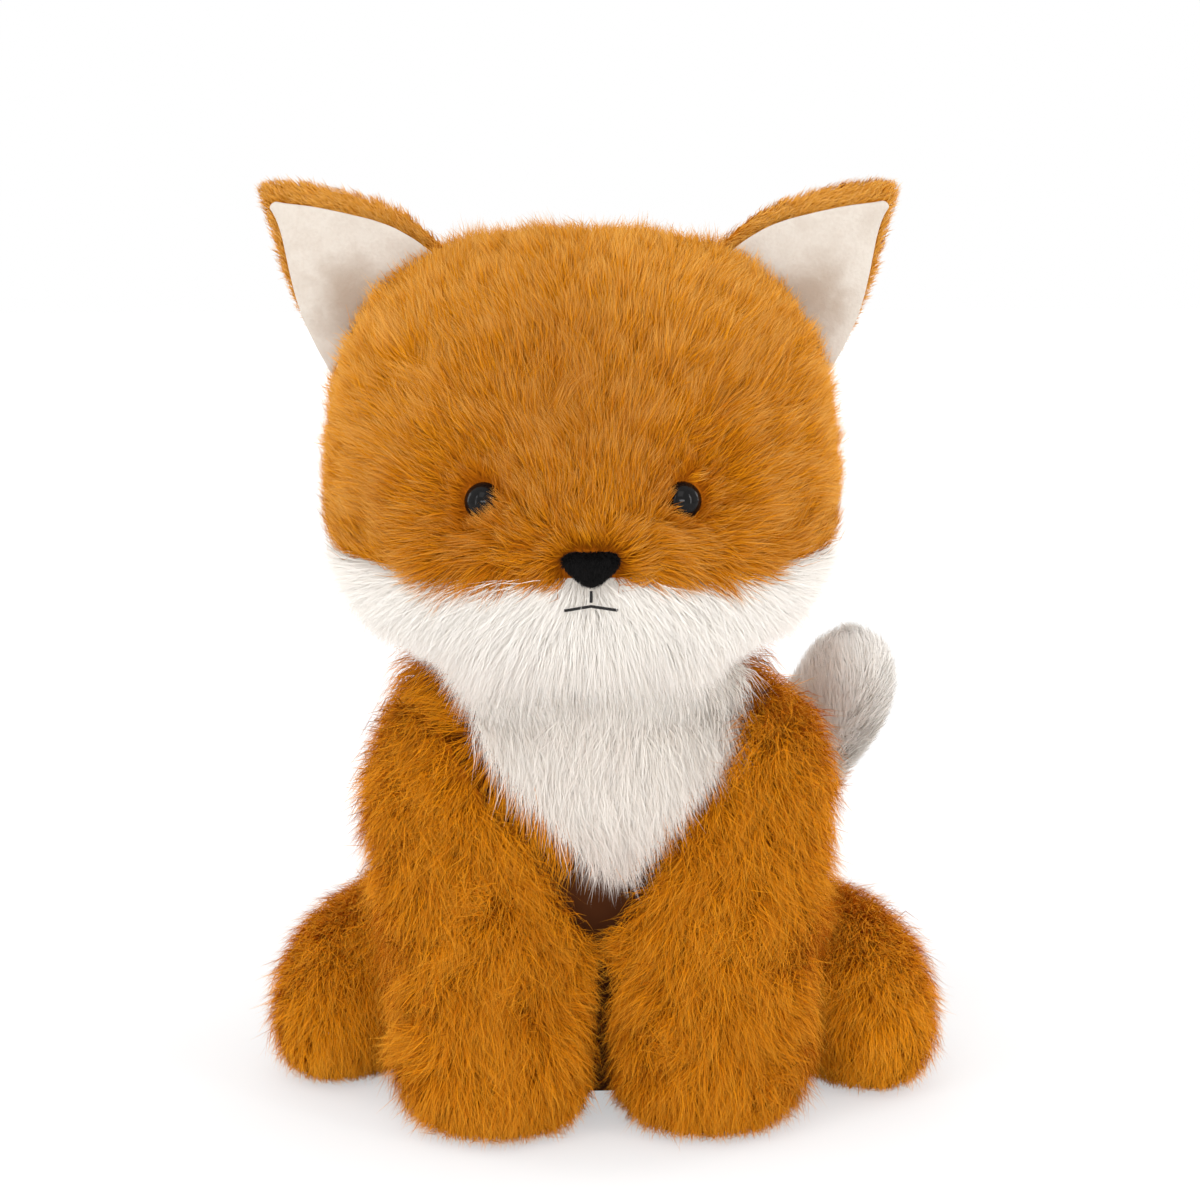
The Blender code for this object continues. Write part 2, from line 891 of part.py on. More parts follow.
# Tail
tail_pivot = pivot("tail_swing", tail_root)
tail_leaving = Vector(tail_leaving_shares).normalized()
tail_rows = []
for along, width in tail_root_shares:
    place = tail_root + tail_leaving * along * tail_root_radius
    tail_rows.append((*place, width * tail_root_radius))
for reach, bulge, rise, width in tail_shares:
    offset = Vector((reach * tail_reach, bulge * tail_bulge, rise * tail_rise))
    tail_rows.append((*(tail_root + offset), width * tail_radius))


def tail_form(name, rows, smooth=True):
    """Rings square to the tail's curved middle line, with no twist from one to the next."""
    columns = cage_columns(rows) if smooth else np.array(rows)
    growth = ring_growth(tail_sides) if smooth else 1
    middles = [Vector(row[:3]) for row in columns]
    across = Vector((0, 0, 1))
    rings = []
    for index, middle in enumerate(middles):
        ahead = middles[min(index + 1, len(middles) - 1)]
        behind = middles[max(index - 1, 0)]
        way = (ahead - behind).normalized()
        across = (across - way * across.dot(way)).normalized()
        other = way.cross(across)
        radius = float(columns[index][3]) * growth
        ring = []
        for step in range(tail_sides):
            angle = math.tau * step / tail_sides
            ring.append(middle + radius * (across * math.cos(angle) + other * math.sin(angle)))
        rings.append(ring)
    return loft(name, rings, triangles=not smooth)


tail_cage = tail_form("tail_form", tail_rows)
tail_core_cage = tail_form("tail_filling_form", tail_rows[len(tail_root_shares) :], False)

# The seam between the sleeve and the tip, a share of the way along the tail's middle line
tail_middles = [Vector(row[:3]) for row in tail_rows]
lengths = [0.0]
for start, end in zip(tail_middles, tail_middles[1:]):
    lengths.append(lengths[-1] + (end - start).length)
seam_at = tail_seam_share * lengths[-1]
seam_after = next(index for index, length in enumerate(lengths) if length > seam_at)
seam_start, seam_end = tail_middles[seam_after - 1 : seam_after + 1]
seam_rest = (seam_at - lengths[seam_after - 1]) / (seam_end - seam_start).length
seam_place = (seam_end - seam_start).to_track_quat("Z", "Y").to_matrix().to_4x4()
seam_place.translation = seam_start.lerp(seam_end, seam_rest)
past_seam = box_cutter(
    "past_tail_seam", (-overrun, -overrun, -gap / 2), (overrun, overrun, overrun)
)
before_seam = box_cutter(
    "before_tail_seam", (-overrun, -overrun, -overrun), (overrun, overrun, gap / 2)
)
past_seam.matrix_world = seam_place
before_seam.matrix_world = seam_place

tail_hollow = core_cutter("tail_hollow", tail_core_cage)
for name, surface, cutter in (
    ("tail_sleeve", orange_pile, past_seam),
    ("tail_tip", cream_pile, before_seam),
):
    piece = add(name, tail_cage.copy(), surface, tail_pivot)
    subdivide(piece)
    boolean(piece, "DIFFERENCE", tail_hollow, cutter)
filling("tail_stuffing", tail_core_cage, tail_pivot)


def ball_cutter(name, centre, radius):
    body = bmesh.new()
    bmesh.ops.create_uvsphere(
        body, u_segments=turned_steps, v_segments=turned_steps // 2, radius=radius
    )
    bmesh.ops.translate(body, vec=centre, verts=body.verts)
    mesh = bpy.data.meshes.new(name)
    body.to_mesh(mesh)
    body.free()
    return add(name, mesh)


# The root sits in a round seat, which it turns in
boolean(torso, "DIFFERENCE", ball_cutter("tail_seat", tail_root, tail_root_radius + gap))
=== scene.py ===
# %% [markdown]
# # A plush fox, dressed for its photograph
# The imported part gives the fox's construction at its real size: panels, stuffing, eyes, seams and joints.
# This script gives it its looks. Most of them are fur, so most of the script sews soft forms and plants pile.
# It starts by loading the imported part, whose nodes and bodies stay where they are.

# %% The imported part
import math
from functools import partial

import bmesh
import bpy
import numpy as np
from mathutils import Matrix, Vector
from mathutils.bvhtree import BVHTree
from mathutils.kdtree import KDTree


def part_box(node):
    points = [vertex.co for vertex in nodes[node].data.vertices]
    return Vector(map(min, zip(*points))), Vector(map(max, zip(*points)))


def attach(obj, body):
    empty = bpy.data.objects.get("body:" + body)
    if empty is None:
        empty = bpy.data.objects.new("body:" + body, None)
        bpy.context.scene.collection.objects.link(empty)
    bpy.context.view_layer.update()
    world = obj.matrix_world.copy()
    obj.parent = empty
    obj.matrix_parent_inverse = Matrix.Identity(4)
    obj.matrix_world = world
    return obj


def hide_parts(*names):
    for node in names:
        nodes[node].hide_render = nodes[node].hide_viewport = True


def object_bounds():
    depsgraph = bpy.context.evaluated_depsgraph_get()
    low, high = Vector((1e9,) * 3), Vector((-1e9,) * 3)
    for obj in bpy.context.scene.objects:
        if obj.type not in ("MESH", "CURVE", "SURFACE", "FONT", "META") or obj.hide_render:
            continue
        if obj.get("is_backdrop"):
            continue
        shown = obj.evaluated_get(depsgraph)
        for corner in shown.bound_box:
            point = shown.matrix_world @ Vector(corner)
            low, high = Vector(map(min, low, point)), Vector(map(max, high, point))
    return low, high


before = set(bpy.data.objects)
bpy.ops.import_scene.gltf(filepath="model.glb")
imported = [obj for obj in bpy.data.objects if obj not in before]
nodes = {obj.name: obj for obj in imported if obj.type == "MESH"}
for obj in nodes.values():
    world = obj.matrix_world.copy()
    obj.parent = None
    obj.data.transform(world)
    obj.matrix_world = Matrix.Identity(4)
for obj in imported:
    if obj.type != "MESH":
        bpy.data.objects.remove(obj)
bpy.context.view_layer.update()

# %% [markdown]
# ## Camera
# The photograph was taken from in front, a little above the fox and a little to its right. A long lens
# from about a metre away keeps the proportions calm, as product photographs do.

# %% Camera
def linked(name, data):
    made = bpy.data.objects.new(name, data)
    bpy.context.scene.collection.objects.link(made)
    return made


camera = linked("camera", bpy.data.cameras.new("camera"))
bpy.context.scene.camera = camera
camera.data.lens = 85
camera.data.sensor_width = 36
aim = Vector((0.0015, 0, 0.1540))
azimuth = math.radians(-2.5)
elevation = math.radians(10.5)
distance = 0.915
back_to_camera = Vector((
    math.sin(azimuth) * math.cos(elevation),
    -math.cos(azimuth) * math.cos(elevation),
    math.sin(elevation),
))
camera.location = aim + distance * back_to_camera
camera.rotation_euler = (-back_to_camera).to_track_quat("-Z", "Y").to_euler()
print("camera at", [round(value, 3) for value in camera.location])

# %% [markdown]
# ## Shader maths as Python
# A node material is a small program. Wrapping each socket in a class with operators lets the program read
# as a formula: `1 - mask * 0.3` adds its own Math nodes. Colours and vectors need other nodes, because a
# Math node keeps only one number of a colour.

# %% A socket that does sums, and a finish that holds the nodes
class Wire:
    """One output of a node, which operators work on."""

    def __init__(self, finish, socket):
        self.finish = finish
        self.socket = socket

    def sum(self, operation, first, second):
        settings = {"operation": operation}
        return self.finish.wire(0, "ShaderNodeMath", settings, {0: first, 1: second})

    def __add__(self, other):
        return self.sum("ADD", self, other)

    def __radd__(self, other):
        return self.sum("ADD", other, self)

    def __rsub__(self, other):
        return self.sum("SUBTRACT", other, self)

    def __mul__(self, other):
        return self.sum("MULTIPLY", self, other)

    def __rmul__(self, other):
        return self.sum("MULTIPLY", other, self)


class Finish:
    """A material, its Principled shader and the nodes that feed it."""

    def __init__(self, name, roughness, specular=0.5, sheen=0.0, sheen_tint=(1, 1, 1)):
        self.material = bpy.data.materials.new(name)
        self.material.use_nodes = True
        self.tree = self.material.node_tree
        self.shader = self.tree.nodes["Principled BSDF"]
        self.put("Roughness", roughness)
        self.put("Specular IOR Level", specular)
        self.put("Sheen Weight", sheen)
        self.put("Sheen Roughness", 0.4)
        self.put("Sheen Tint", (*sheen_tint, 1))

    def node(self, kind, settings=(), sockets=()):
        """Any node: its settings go in first, then the values and links of its sockets."""
        made = self.tree.nodes.new(kind)
        for name, value in dict(settings).items():
            setattr(made, name, value)
        for name, value in dict(sockets).items():
            if isinstance(value, Wire):
                self.tree.links.new(value.socket, made.inputs[name])
            else:
                made.inputs[name].default_value = value
        return made

    def wire(self, output, kind, settings=(), sockets=()):
        """One output of a new node."""
        return Wire(self, self.node(kind, settings, sockets).outputs[output])

    def put(self, name, value):
        if isinstance(value, Wire):
            self.tree.links.new(value.socket, self.shader.inputs[name])
        else:
            self.shader.inputs[name].default_value = value

    def place(self, scale=(1, 1, 1)):
        """Object coordinates, stretched by a Mapping node."""
        where = self.wire("Object", "ShaderNodeTexCoord")
        return self.wire("Vector", "ShaderNodeMapping", (), {"Vector": where, "Scale": scale})

    def noise(self, where, scale, detail=3.0, distortion=0.0):
        sockets = {"Vector": where, "Scale": scale, "Detail": detail, "Distortion": distortion}
        return self.wire("Fac", "ShaderNodeTexNoise", (), sockets)

    def weave(self, where, scale, along):
        settings = {"bands_direction": along, "wave_profile": "SIN"}
        sockets = {"Vector": where, "Scale": scale, "Distortion": 1.0, "Detail": 1.0}
        return self.wire("Fac", "ShaderNodeTexWave", settings, sockets)

    def blend(self, amount, first, second):
        """A colour between two colours. In a Mix node set to colour, the sockets are 0, 6 and 7."""
        colours = [(*c, 1) if isinstance(c, tuple) else c for c in (first, second)]
        sockets = {0: amount, 6: colours[0], 7: colours[1]}
        return self.wire(2, "ShaderNodeMix", {"data_type": "RGBA"}, sockets)

    def steps(self, value, low, high):
        """0 below low, 1 above high, smooth between."""
        settings = {"interpolation_type": "SMOOTHSTEP"}
        sockets = {0: value, 1: low, 2: high, 3: 0.0, 4: 1.0}
        return self.wire(0, "ShaderNodeMapRange", settings, sockets)

    def bump(self, height, strength, depth):
        sockets = {"Height": height, "Strength": strength, "Distance": depth}
        self.put("Normal", self.wire("Normal", "ShaderNodeBump", (), sockets))


def new_piece(name, source):
    """A mesh object at the origin from a bmesh, which is freed."""
    made = linked(name, bpy.data.meshes.new(name))
    source.to_mesh(made.data)
    source.free()
    made.data.shade_smooth()
    return made


def paint(piece, finish):
    """The piece wears this finish and no other."""
    if not piece.material_slots:
        piece.data.materials.append(finish.material)
    for slot in piece.material_slots:
        slot.material = finish.material


def stand_in(piece, finish, body, node):
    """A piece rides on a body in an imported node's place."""
    paint(piece, finish)
    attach(piece, body)
    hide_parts(node)


# %% [markdown]
# ## Floor, backdrop and light
# The photograph shows the toy on pure white with only a soft shadow under its paws. The floor is white cloth
# to every ray but the camera's, and to the camera it is mostly plain white with a little of its real shade,
# which carries the shadow. No extra light falls on the fox for it.

# %% Floor and white surroundings
floor_mesh = bmesh.new()
bmesh.ops.create_grid(floor_mesh, x_segments=1, y_segments=1, size=3)
floor = new_piece("floor", floor_mesh)
floor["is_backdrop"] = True

floor_finish = Finish("floor_white", 0.9, specular=0.1)
floor_finish.put("Base Color", (0.86, 0.86, 0.86, 1))
glow = floor_finish.wire(0, "ShaderNodeEmission", (), {"Color": (1, 1, 1, 1), "Strength": 1.15})
rays = floor_finish.node("ShaderNodeLightPath")
from_fox = floor_finish.wire(
    "Value", "ShaderNodeVectorMath", {"operation": "LENGTH"}, {0: floor_finish.place()}
)
plain = 0.40 + 0.60 * floor_finish.steps(from_fox, 0.10, 0.42)
seen = Wire(floor_finish, rays.outputs["Is Camera Ray"]) * plain
shaded = Wire(floor_finish, floor_finish.shader.outputs[0])
mixer = floor_finish.node("ShaderNodeMixShader", (), {0: seen, 1: shaded, 2: glow})
surface = floor_finish.tree.nodes["Material Output"].inputs["Surface"]
floor_finish.tree.links.new(mixer.outputs[0], surface)
paint(floor, floor_finish)

world = bpy.data.worlds.new("studio")
bpy.context.scene.world = world
world.use_nodes = True
world_tree = world.node_tree
light_path = world_tree.nodes.new("ShaderNodeLightPath")
plain_white = world_tree.nodes.new("ShaderNodeMath")
plain_white.operation = "MAXIMUM"
link = world_tree.links.new
link(light_path.outputs["Is Camera Ray"], plain_white.inputs[0])
link(light_path.outputs["Is Glossy Ray"], plain_white.inputs[1])
strength = world_tree.nodes.new("ShaderNodeMapRange")
strength.inputs["To Min"].default_value = 0.90
strength.inputs["To Max"].default_value = 1.0
link(plain_white.outputs[0], strength.inputs["Value"])
background = world_tree.nodes["Background"]
background.inputs["Color"].default_value = (1, 1, 1, 1)
link(strength.outputs[0], background.inputs["Strength"])
bpy.context.scene.view_settings.view_transform = "Standard"

# %% Lamps: soft ones in front and behind for the outlines, and narrow ones that the eyes mirror
# Each eye shows a thin arc from the tall strip on its own side and a short dash from the window.
def lamp(name, place, size, watts):
    light = bpy.data.lights.new(name, "AREA")
    light.shape = "RECTANGLE"
    light.size, light.size_y = size
    light.energy = watts
    made = linked(name, light)
    made.location = place
    made.rotation_euler = (Vector((0, 0, 0.14)) - Vector(place)).to_track_quat("-Z", "Y").to_euler()


lamp("above_front", (-0.35, -1.1, 1.5), (0.9, 0.9), 3.5)
lamp("left_strip", (0.95, -0.90, 0.55), (0.12, 1.2), 4.0)
lamp("right_strip", (-1.00, -0.90, 0.55), (0.12, 1.2), 3.0)
lamp("left_rim", (1.15, 0.45, 0.45), (0.5, 0.8), 4.5)
lamp("right_rim", (-1.15, 0.45, 0.45), (0.5, 0.8), 3.5)
lamp("window", (-0.10, -1.35, 0.42), (0.70, 0.16), 3.5)

# %% [markdown]
# ## Finishes
# Pile fabric is a woven backing with long fibres. Each fibre is darker at its root, where light doesn't
# reach, and paler at its tip, where the dye is thin. The strands carry a UV map: U is the strand's own
# shade and V runs from root to tip, so one small formula colours every strand and survives the export.

# %% Pile, backing and the other finishes
def pile_finish(name, root, dark, light, tip, sheen=0.0):
    finish = Finish(name, 0.75, specular=0.06, sheen=sheen, sheen_tint=light)
    uv = finish.wire("UV", "ShaderNodeUVMap", {"uv_map": "OFBake"})
    parts = finish.node("ShaderNodeSeparateXYZ", (), {0: uv})
    # U is the strand's tone, and on the face, body, legs and tail tip it also carries painted light and shade.
    shade = Wire(finish, parts.outputs["X"])
    along = Wire(finish, parts.outputs["Y"])
    body = finish.blend(shade, dark, light)
    grown = finish.blend(finish.steps(along, 0.0, 0.62), root, body)
    ends = finish.steps(along, 0.55, 1.0) * (0.2 + 0.5 * shade)
    finish.put("Base Color", finish.blend(ends, grown, tip))
    return finish


orange = pile_finish(
    "orange_pile", (0.36, 0.088, 0.001), (0.45, 0.120, 0.001), (0.76, 0.280, 0.005),
    (0.92, 0.55, 0.16),
)
ear_orange = pile_finish(
    "ear_orange_pile", (0.62, 0.21, 0.008), (0.70, 0.28, 0.02), (0.88, 0.45, 0.08),
    (0.95, 0.62, 0.24),
)
leg_orange = pile_finish(
    "leg_orange_pile", (0.36, 0.088, 0.001), (0.48, 0.125, 0.001), (0.82, 0.285, 0.004),
    (0.95, 0.48, 0.055),
)
cream = pile_finish(
    "cream_pile", (0.93, 0.87, 0.80), (0.94, 0.89, 0.82), (0.97, 0.93, 0.88), (0.98, 0.95, 0.91)
)
bib_cream = pile_finish(
    "bib_cream_pile", (0.86, 0.78, 0.70), (0.72, 0.62, 0.55), (0.98, 0.93, 0.86), (0.98, 0.94, 0.89)
)
black = pile_finish(
    "black_velvet_pile", (0.002, 0.002, 0.002), (0.004, 0.004, 0.004), (0.012, 0.011, 0.011),
    (0.020, 0.018, 0.018), 0.10,
)


def backing_finish(name, low, high):
    finish = Finish(name, 0.9, specular=0.1)
    where = finish.place()
    cloth = finish.weave(where, 900, "X") * finish.weave(where, 900, "Z")
    mottled = finish.noise(where, 60)
    finish.put("Base Color", finish.blend(0.5 * cloth + 0.5 * mottled, low, high))
    finish.bump(cloth, 0.5, 0.0002)
    return finish


orange_backing = backing_finish("orange_backing", (0.42, 0.105, 0.002), (0.52, 0.145, 0.003))
cream_backing = backing_finish("cream_backing", (0.78, 0.73, 0.66), (0.88, 0.84, 0.78))
# Painted shade: the body's cloth is near black, for the shaded hollow between the forelegs where it shows
# bare.
shaded_backing = backing_finish("shaded_backing", (0.07, 0.022, 0.007), (0.11, 0.035, 0.010))
under_cloth = backing_finish("base_cloth", (0.24, 0.085, 0.012), (0.36, 0.13, 0.02))
bag_cloth = backing_finish("cotton_cloth", (0.50, 0.46, 0.38), (0.66, 0.62, 0.54))
filling = backing_finish("fibre_filling", (0.78, 0.78, 0.76), (0.90, 0.90, 0.88))
print("materials", len(bpy.data.materials))

# %% [markdown]
# ## Soft forms under the pile
# Under the fur there is a stuffed cloth form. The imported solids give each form's outside with the fur on, so
# the cloth lies the pile's height further in. A voxel remesh joins a form's panels and stuffing into one
# even skin, a short cloth simulation under pressure rounds it as filling does, and one subdivision finishes
# it. Where a leg is sewn to the body, the form reaches on to the body's cloth instead of shrinking away.

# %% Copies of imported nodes, and how far places are from them
pile_height = 0.0068
skew = Vector((0.31, 0.42, 0.85))


def merged_copy(names):
    """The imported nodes' meshes as one bmesh with shared corners."""
    joined = bmesh.new()
    for name in names:
        joined.from_mesh(nodes[name].data)
    bmesh.ops.remove_doubles(joined, verts=joined.verts, dist=0.000005)
    return joined


def surface_of(names):
    joined = merged_copy(names)
    tree = BVHTree.FromBMesh(joined)
    joined.free()
    return tree


def apart(places, tree):
    """Distance of each place to a surface."""
    return np.array([tree.find_nearest(Vector(place))[3] for place in places])


def within(place, tree):
    """Whether a place lies inside closed solids: a ray from it leaves more of them than it enters."""
    start, way, left = Vector(place), skew.normalized(), 0
    while True:
        hit, normal, _, _ = tree.ray_cast(start, way)
        if hit is None:
            return left > 0
        left += 1 if normal.dot(way) > 0 else -1
        start = hit + way * 0.00001


def clearance(places, tree):
    """Signed distance of each place to a surface, negative inside it."""
    return apart(places, tree) * np.array([-1 if within(place, tree) else 1 for place in places])


def eased(values, low, high):
    share = np.clip((values - low) / (high - low), 0, 1)
    return share * share * (3 - 2 * share)


# %% Remeshing, drawing in and filling one form
def settle(piece):
    """Applies every modifier of a piece."""
    bpy.context.view_layer.update()
    graph = bpy.context.evaluated_depsgraph_get()
    finished = bpy.data.meshes.new_from_object(piece.evaluated_get(graph))
    piece.modifiers.clear()
    piece.data = finished


def places_of(mesh, kind="co"):
    values = np.empty(len(mesh.vertices) * 3)
    mesh.vertices.foreach_get(kind, values)
    return values.reshape(-1, 3)


normals_of = partial(places_of, kind="normal")


def move_to(mesh, places):
    mesh.vertices.foreach_set("co", np.ascontiguousarray(places).ravel())
    mesh.update()


def relax(body, times):
    """Evens out a bmesh's corners."""
    for _ in range(times):
        bmesh.ops.smooth_vert(
            body, verts=body.verts, factor=0.5, use_axis_x=True, use_axis_y=True, use_axis_z=True
        )


def remeshed(name, names, voxel):
    """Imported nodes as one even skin."""
    piece = new_piece(name, merged_copy(names))
    remesh = piece.modifiers.new("remesh", "REMESH")
    remesh.mode = "VOXEL"
    remesh.voxel_size = voxel
    settle(piece)
    keep_outside_only(piece)
    return piece


def subdivide(piece, levels):
    smoother = piece.modifiers.new("smooth", "SUBSURF")
    smoother.levels = levels
    smoother.render_levels = levels
    settle(piece)
    piece.data.shade_smooth()


def keep_outside_only(piece):
    """Drops the closed skins that a remesh leaves inside a form."""
    body = bmesh.new()
    body.from_mesh(piece.data)
    left = set(body.verts)
    largest = []
    while left:
        island, edge = [], [left.pop()]
        while edge:
            vertex = edge.pop()
            island.append(vertex)
            others = {line.other_vert(vertex) for line in vertex.link_edges} & left
            left -= others
            edge += others
        largest = max(largest, island, key=len)
    keep = set(largest)
    bmesh.ops.delete(body, geom=[v for v in body.verts if v not in keep], context="VERTS")
    relax(body, 3)
    bmesh.ops.recalc_face_normals(body, faces=body.faces)
    body.to_mesh(piece.data)
    body.free()


def fill_form(piece, most):
    """A short cloth simulation under pressure, with no point moved further than most."""
    start = places_of(piece.data)
    cloth = piece.modifiers.new("filling", "CLOTH")
    cloth.settings.use_pressure = True
    cloth.settings.uniform_pressure_force = 4
    cloth.settings.effector_weights.gravity = 0
    cloth.settings.quality = 4
    cloth.settings.tension_stiffness = 30
    for step in range(1, 21):
        bpy.context.scene.frame_set(step)
    settle(piece)
    moved = places_of(piece.data) - start
    far = np.linalg.norm(moved, axis=1, keepdims=True)
    move_to(piece.data, start + moved * np.minimum(1, most / np.maximum(far, 1e-9)))
    bpy.context.scene.frame_set(1)
    print(f"{piece.name}: filled, moved {1000 * far.mean():.1f} mm on average")


sewn_near = 0.0012
sewn_clear = 0.0080
sewn_overlap = 0.005


def stuffed_form(name, names, fixed, moving, voxel, raised=None):
    """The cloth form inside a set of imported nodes. fixed and moving name its sewn neighbours."""
    piece = remeshed(name, names, voxel)
    outside = places_of(piece.data)
    out = normals_of(piece.data)
    inset = np.full(len(outside), pile_height)
    if raised:
        inset = inset * (1 - raised(outside))
    if moving:
        inset = inset * eased(clearance(outside, surface_of(moving)), sewn_near, sewn_clear)
    if fixed:
        skin = surface_of(fixed)
        free = eased(clearance(outside, skin), sewn_near, sewn_clear)
        facing = np.array([skin.find_nearest(Vector(place))[1] for place in outside])
        free = np.maximum(free, eased((facing * out).sum(axis=1), -0.1, 0.6))
        inset = inset * free - sewn_overlap * (1 - free)
    move_to(piece.data, outside - out * inset[:, None])
    body = bmesh.new()
    body.from_mesh(piece.data)
    relax(body, 2)
    body.to_mesh(piece.data)
    body.free()
    fill_form(piece, most=0.0015)
    subdivide(piece, 1)
    print(f"{name}: {len(piece.data.polygons)} faces")
    return piece


# %% The head, body, leg and tail forms
head_nodes = ["head_crown", "head_cheeks", "head_back", "head_stuffing", "eye_left", "eye_right", "nose"]
body_nodes = ["torso_skin", "chest_bib", "torso_stuffing", "base_panel"]
leg_names = ["foreleg_left", "foreleg_right", "hindleg_left", "hindleg_right"]
leg_nodes = {leg: [f"{leg}_skin", f"{leg}_stuffing"] for leg in leg_names}
tail_nodes = ["tail_sleeve", "tail_tip", "tail_stuffing"]
all_leg_nodes = [node for names in leg_nodes.values() for node in names]

sides = ("left", "right")
eye_middles = []
for side in sides:
    low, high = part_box(f"eye_{side}")
    eye_middles.append(np.array(((low.x + high.x) / 2, low.y + 0.006, (low.z + high.z) / 2)))


def from_eyes(places):
    """Distance to the nearest eye, and the way from it."""
    away = np.stack([places - eye for eye in eye_middles])
    far = np.linalg.norm(away, axis=2)
    closest = far.argmin(axis=0)
    rows = np.arange(len(places))
    return far[closest, rows], away[closest, rows] / far[closest, rows][:, None]


def round_the_eyes(places):
    """The cloth stands over the eyes' washers."""
    return 0.5 * (1 - eased(from_eyes(places)[0], 0.009, 0.018))


def on_the_floor(places):
    """Where the fox sits, its pile is pressed flat and the cloth comes down to the floor."""
    return 0.85 * (1 - eased(places[:, 2], 0.002, 0.008))


head_form = stuffed_form("head_form", head_nodes, [], body_nodes, 0.0045, round_the_eyes)
body_form = stuffed_form("body_form", body_nodes, [], head_nodes, 0.0045, on_the_floor)
leg_forms = {
    leg: stuffed_form(f"{leg}_form", leg_nodes[leg], body_nodes, [], 0.0040, on_the_floor)
    for leg in leg_names
}
tail_form = stuffed_form("tail_form", tail_nodes, [], body_nodes, 0.0035)

# %% [markdown]
# ## Growing pile
# Blender's own hair doesn't leave this file as a mesh, so each fibre is a thin mesh ribbon that ends in a
# point. Real pile never lies strand by strand: fibres gather in fine locks, and locks in broader tresses.
# So three sets of strands are combed, tresses, locks and fibres, and each set is drawn towards the one above
# it, more towards the tip. No operator does that for half a million fibres, so numpy lays out the points.

# %% Roots on a form
def clear_cover(form, neighbours, hidden=-0.0005, open_air=0.0045):
    """How free each corner of a form is, from 0 where a neighbour covers the pile to 1 in the open."""
    places = places_of(form.data) + normals_of(form.data) * pile_height
    return eased(clearance(places, surface_of(neighbours)), hidden, open_air)


def scatter(form, cover, count, keep, rng):
    """Root places, outward directions and cover, spread evenly where keep and cover allow."""
    mesh = form.data
    mesh.calc_loop_triangles()
    corners = np.empty(len(mesh.loop_triangles) * 3, dtype=np.int32)
    mesh.loop_triangles.foreach_get("vertices", corners)
    corners = corners.reshape(-1, 3)
    places, normals = places_of(mesh)[corners], normals_of(mesh)[corners]
    edges = places[:, 1:] - places[:, :1]
    area = np.linalg.norm(np.cross(edges[:, 0], edges[:, 1]), axis=1)
    free = cover[corners].mean(axis=1)
    weight = area * keep(places.mean(axis=1)) * free
    picked = rng.choice(len(weight), size=count, p=weight / weight.sum())
    share = rng.dirichlet((1, 1, 1), size=count)[:, :, None]
    roots = (places[picked] * share).sum(axis=1)
    out = unit((normals[picked] * share).sum(axis=1))
    return roots, out, (cover[corners[picked]] * share[..., 0]).sum(axis=1)


def unit(ways):
    return ways / np.maximum(np.linalg.norm(ways, axis=-1, keepdims=True), 1e-12)


def waves(places, size, seed):
    """Smooth disorder: directions that drift over about this distance."""
    rng = np.random.default_rng(seed)
    total = np.zeros_like(places)
    for _ in range(7):
        across = unit(rng.normal(size=3)) * math.tau / (size * rng.uniform(0.7, 1.6))
        total += np.sin(places @ across + rng.uniform(0, math.tau))[:, None] * rng.normal(size=3)
    return total / 2.6


# %% Combing strands
shares = np.array((0.0, 0.5, 1.0))  # where along a strand its points lie


def comb(roots, out, ways, length, lift, fall):
    """Each strand's points: it leaves the cloth at an angle of lift and bends over to fall."""
    along = unit(ways - out * (ways * out).sum(axis=1, keepdims=True))
    points = np.empty((len(roots), len(shares), 3))
    bend = np.minimum(fall - lift, -0.01)
    for index, share in enumerate(shares):
        angle = lift + bend * share
        forward = (np.sin(angle) - np.sin(lift)) / bend
        upward = (np.cos(lift) - np.cos(angle)) / bend
        points[:, index] = roots + length[:, None] * (
            along * forward[:, None] + out * upward[:, None]
        )
    return points


def nearest(places, centres):
    tree = KDTree(len(centres))
    for index, centre in enumerate(centres):
        tree.insert(centre, index)
    tree.balance()
    return np.fromiter((tree.find(place)[1] for place in places), dtype=np.int64, count=len(places))


def turned(ways, out, angle):
    """Ways turned about the outward direction."""
    side = np.cross(out, ways)
    return ways * np.cos(angle)[:, None] + side * np.sin(angle)[:, None]


def combed_set(roots, out, cover, coat, rng, wild):
    """One set of strands with its own spread of way, length and lift."""
    ways = coat["way"](roots, out)
    ways = ways - out * (ways * out).sum(axis=1, keepdims=True)
    ways = unit(ways) + coat["swirl"] * waves(roots, coat["swirl_size"], coat["seed"])
    ways = ways + 0.5 * coat["swirl"] * waves(roots, coat["swirl_size"] / 3, coat["seed"] + 1)
    ways = turned(ways, out, rng.normal(0, wild, len(roots)))
    length = coat["length"] * coat["longer"](roots) * rng.normal(1, 0.6 * wild, len(roots))
    length = np.clip(length, 0.15 * coat["length"], 1.5 * coat["length"]) * (0.45 + 0.55 * cover)
    lift = np.radians(coat["lift"]) + rng.normal(0, 0.7 * wild, len(roots))
    fall = np.radians(coat["fall"]) + rng.normal(0, 0.7 * wild, len(roots))
    points = comb(roots, out, ways, length, lift, fall)
    points += rng.normal(0, coat["frizz"], points.shape) * shares[None, :, None]
    points[..., 2] -= (coat["hang"](roots) * length)[:, None] * shares[None, :] ** 2
    return points


def drawn_to(points, roots, leaders, leader_roots, chosen, pull):
    """Strands drawn towards their leader, more towards the tip, and keeping a little of their place."""
    spread = (roots - leader_roots[chosen])[:, None, :] * 0.25
    aim = leaders[chosen] + spread
    amount = pull * shares[None, :, None] ** 1.3
    return points + (aim - points) * amount


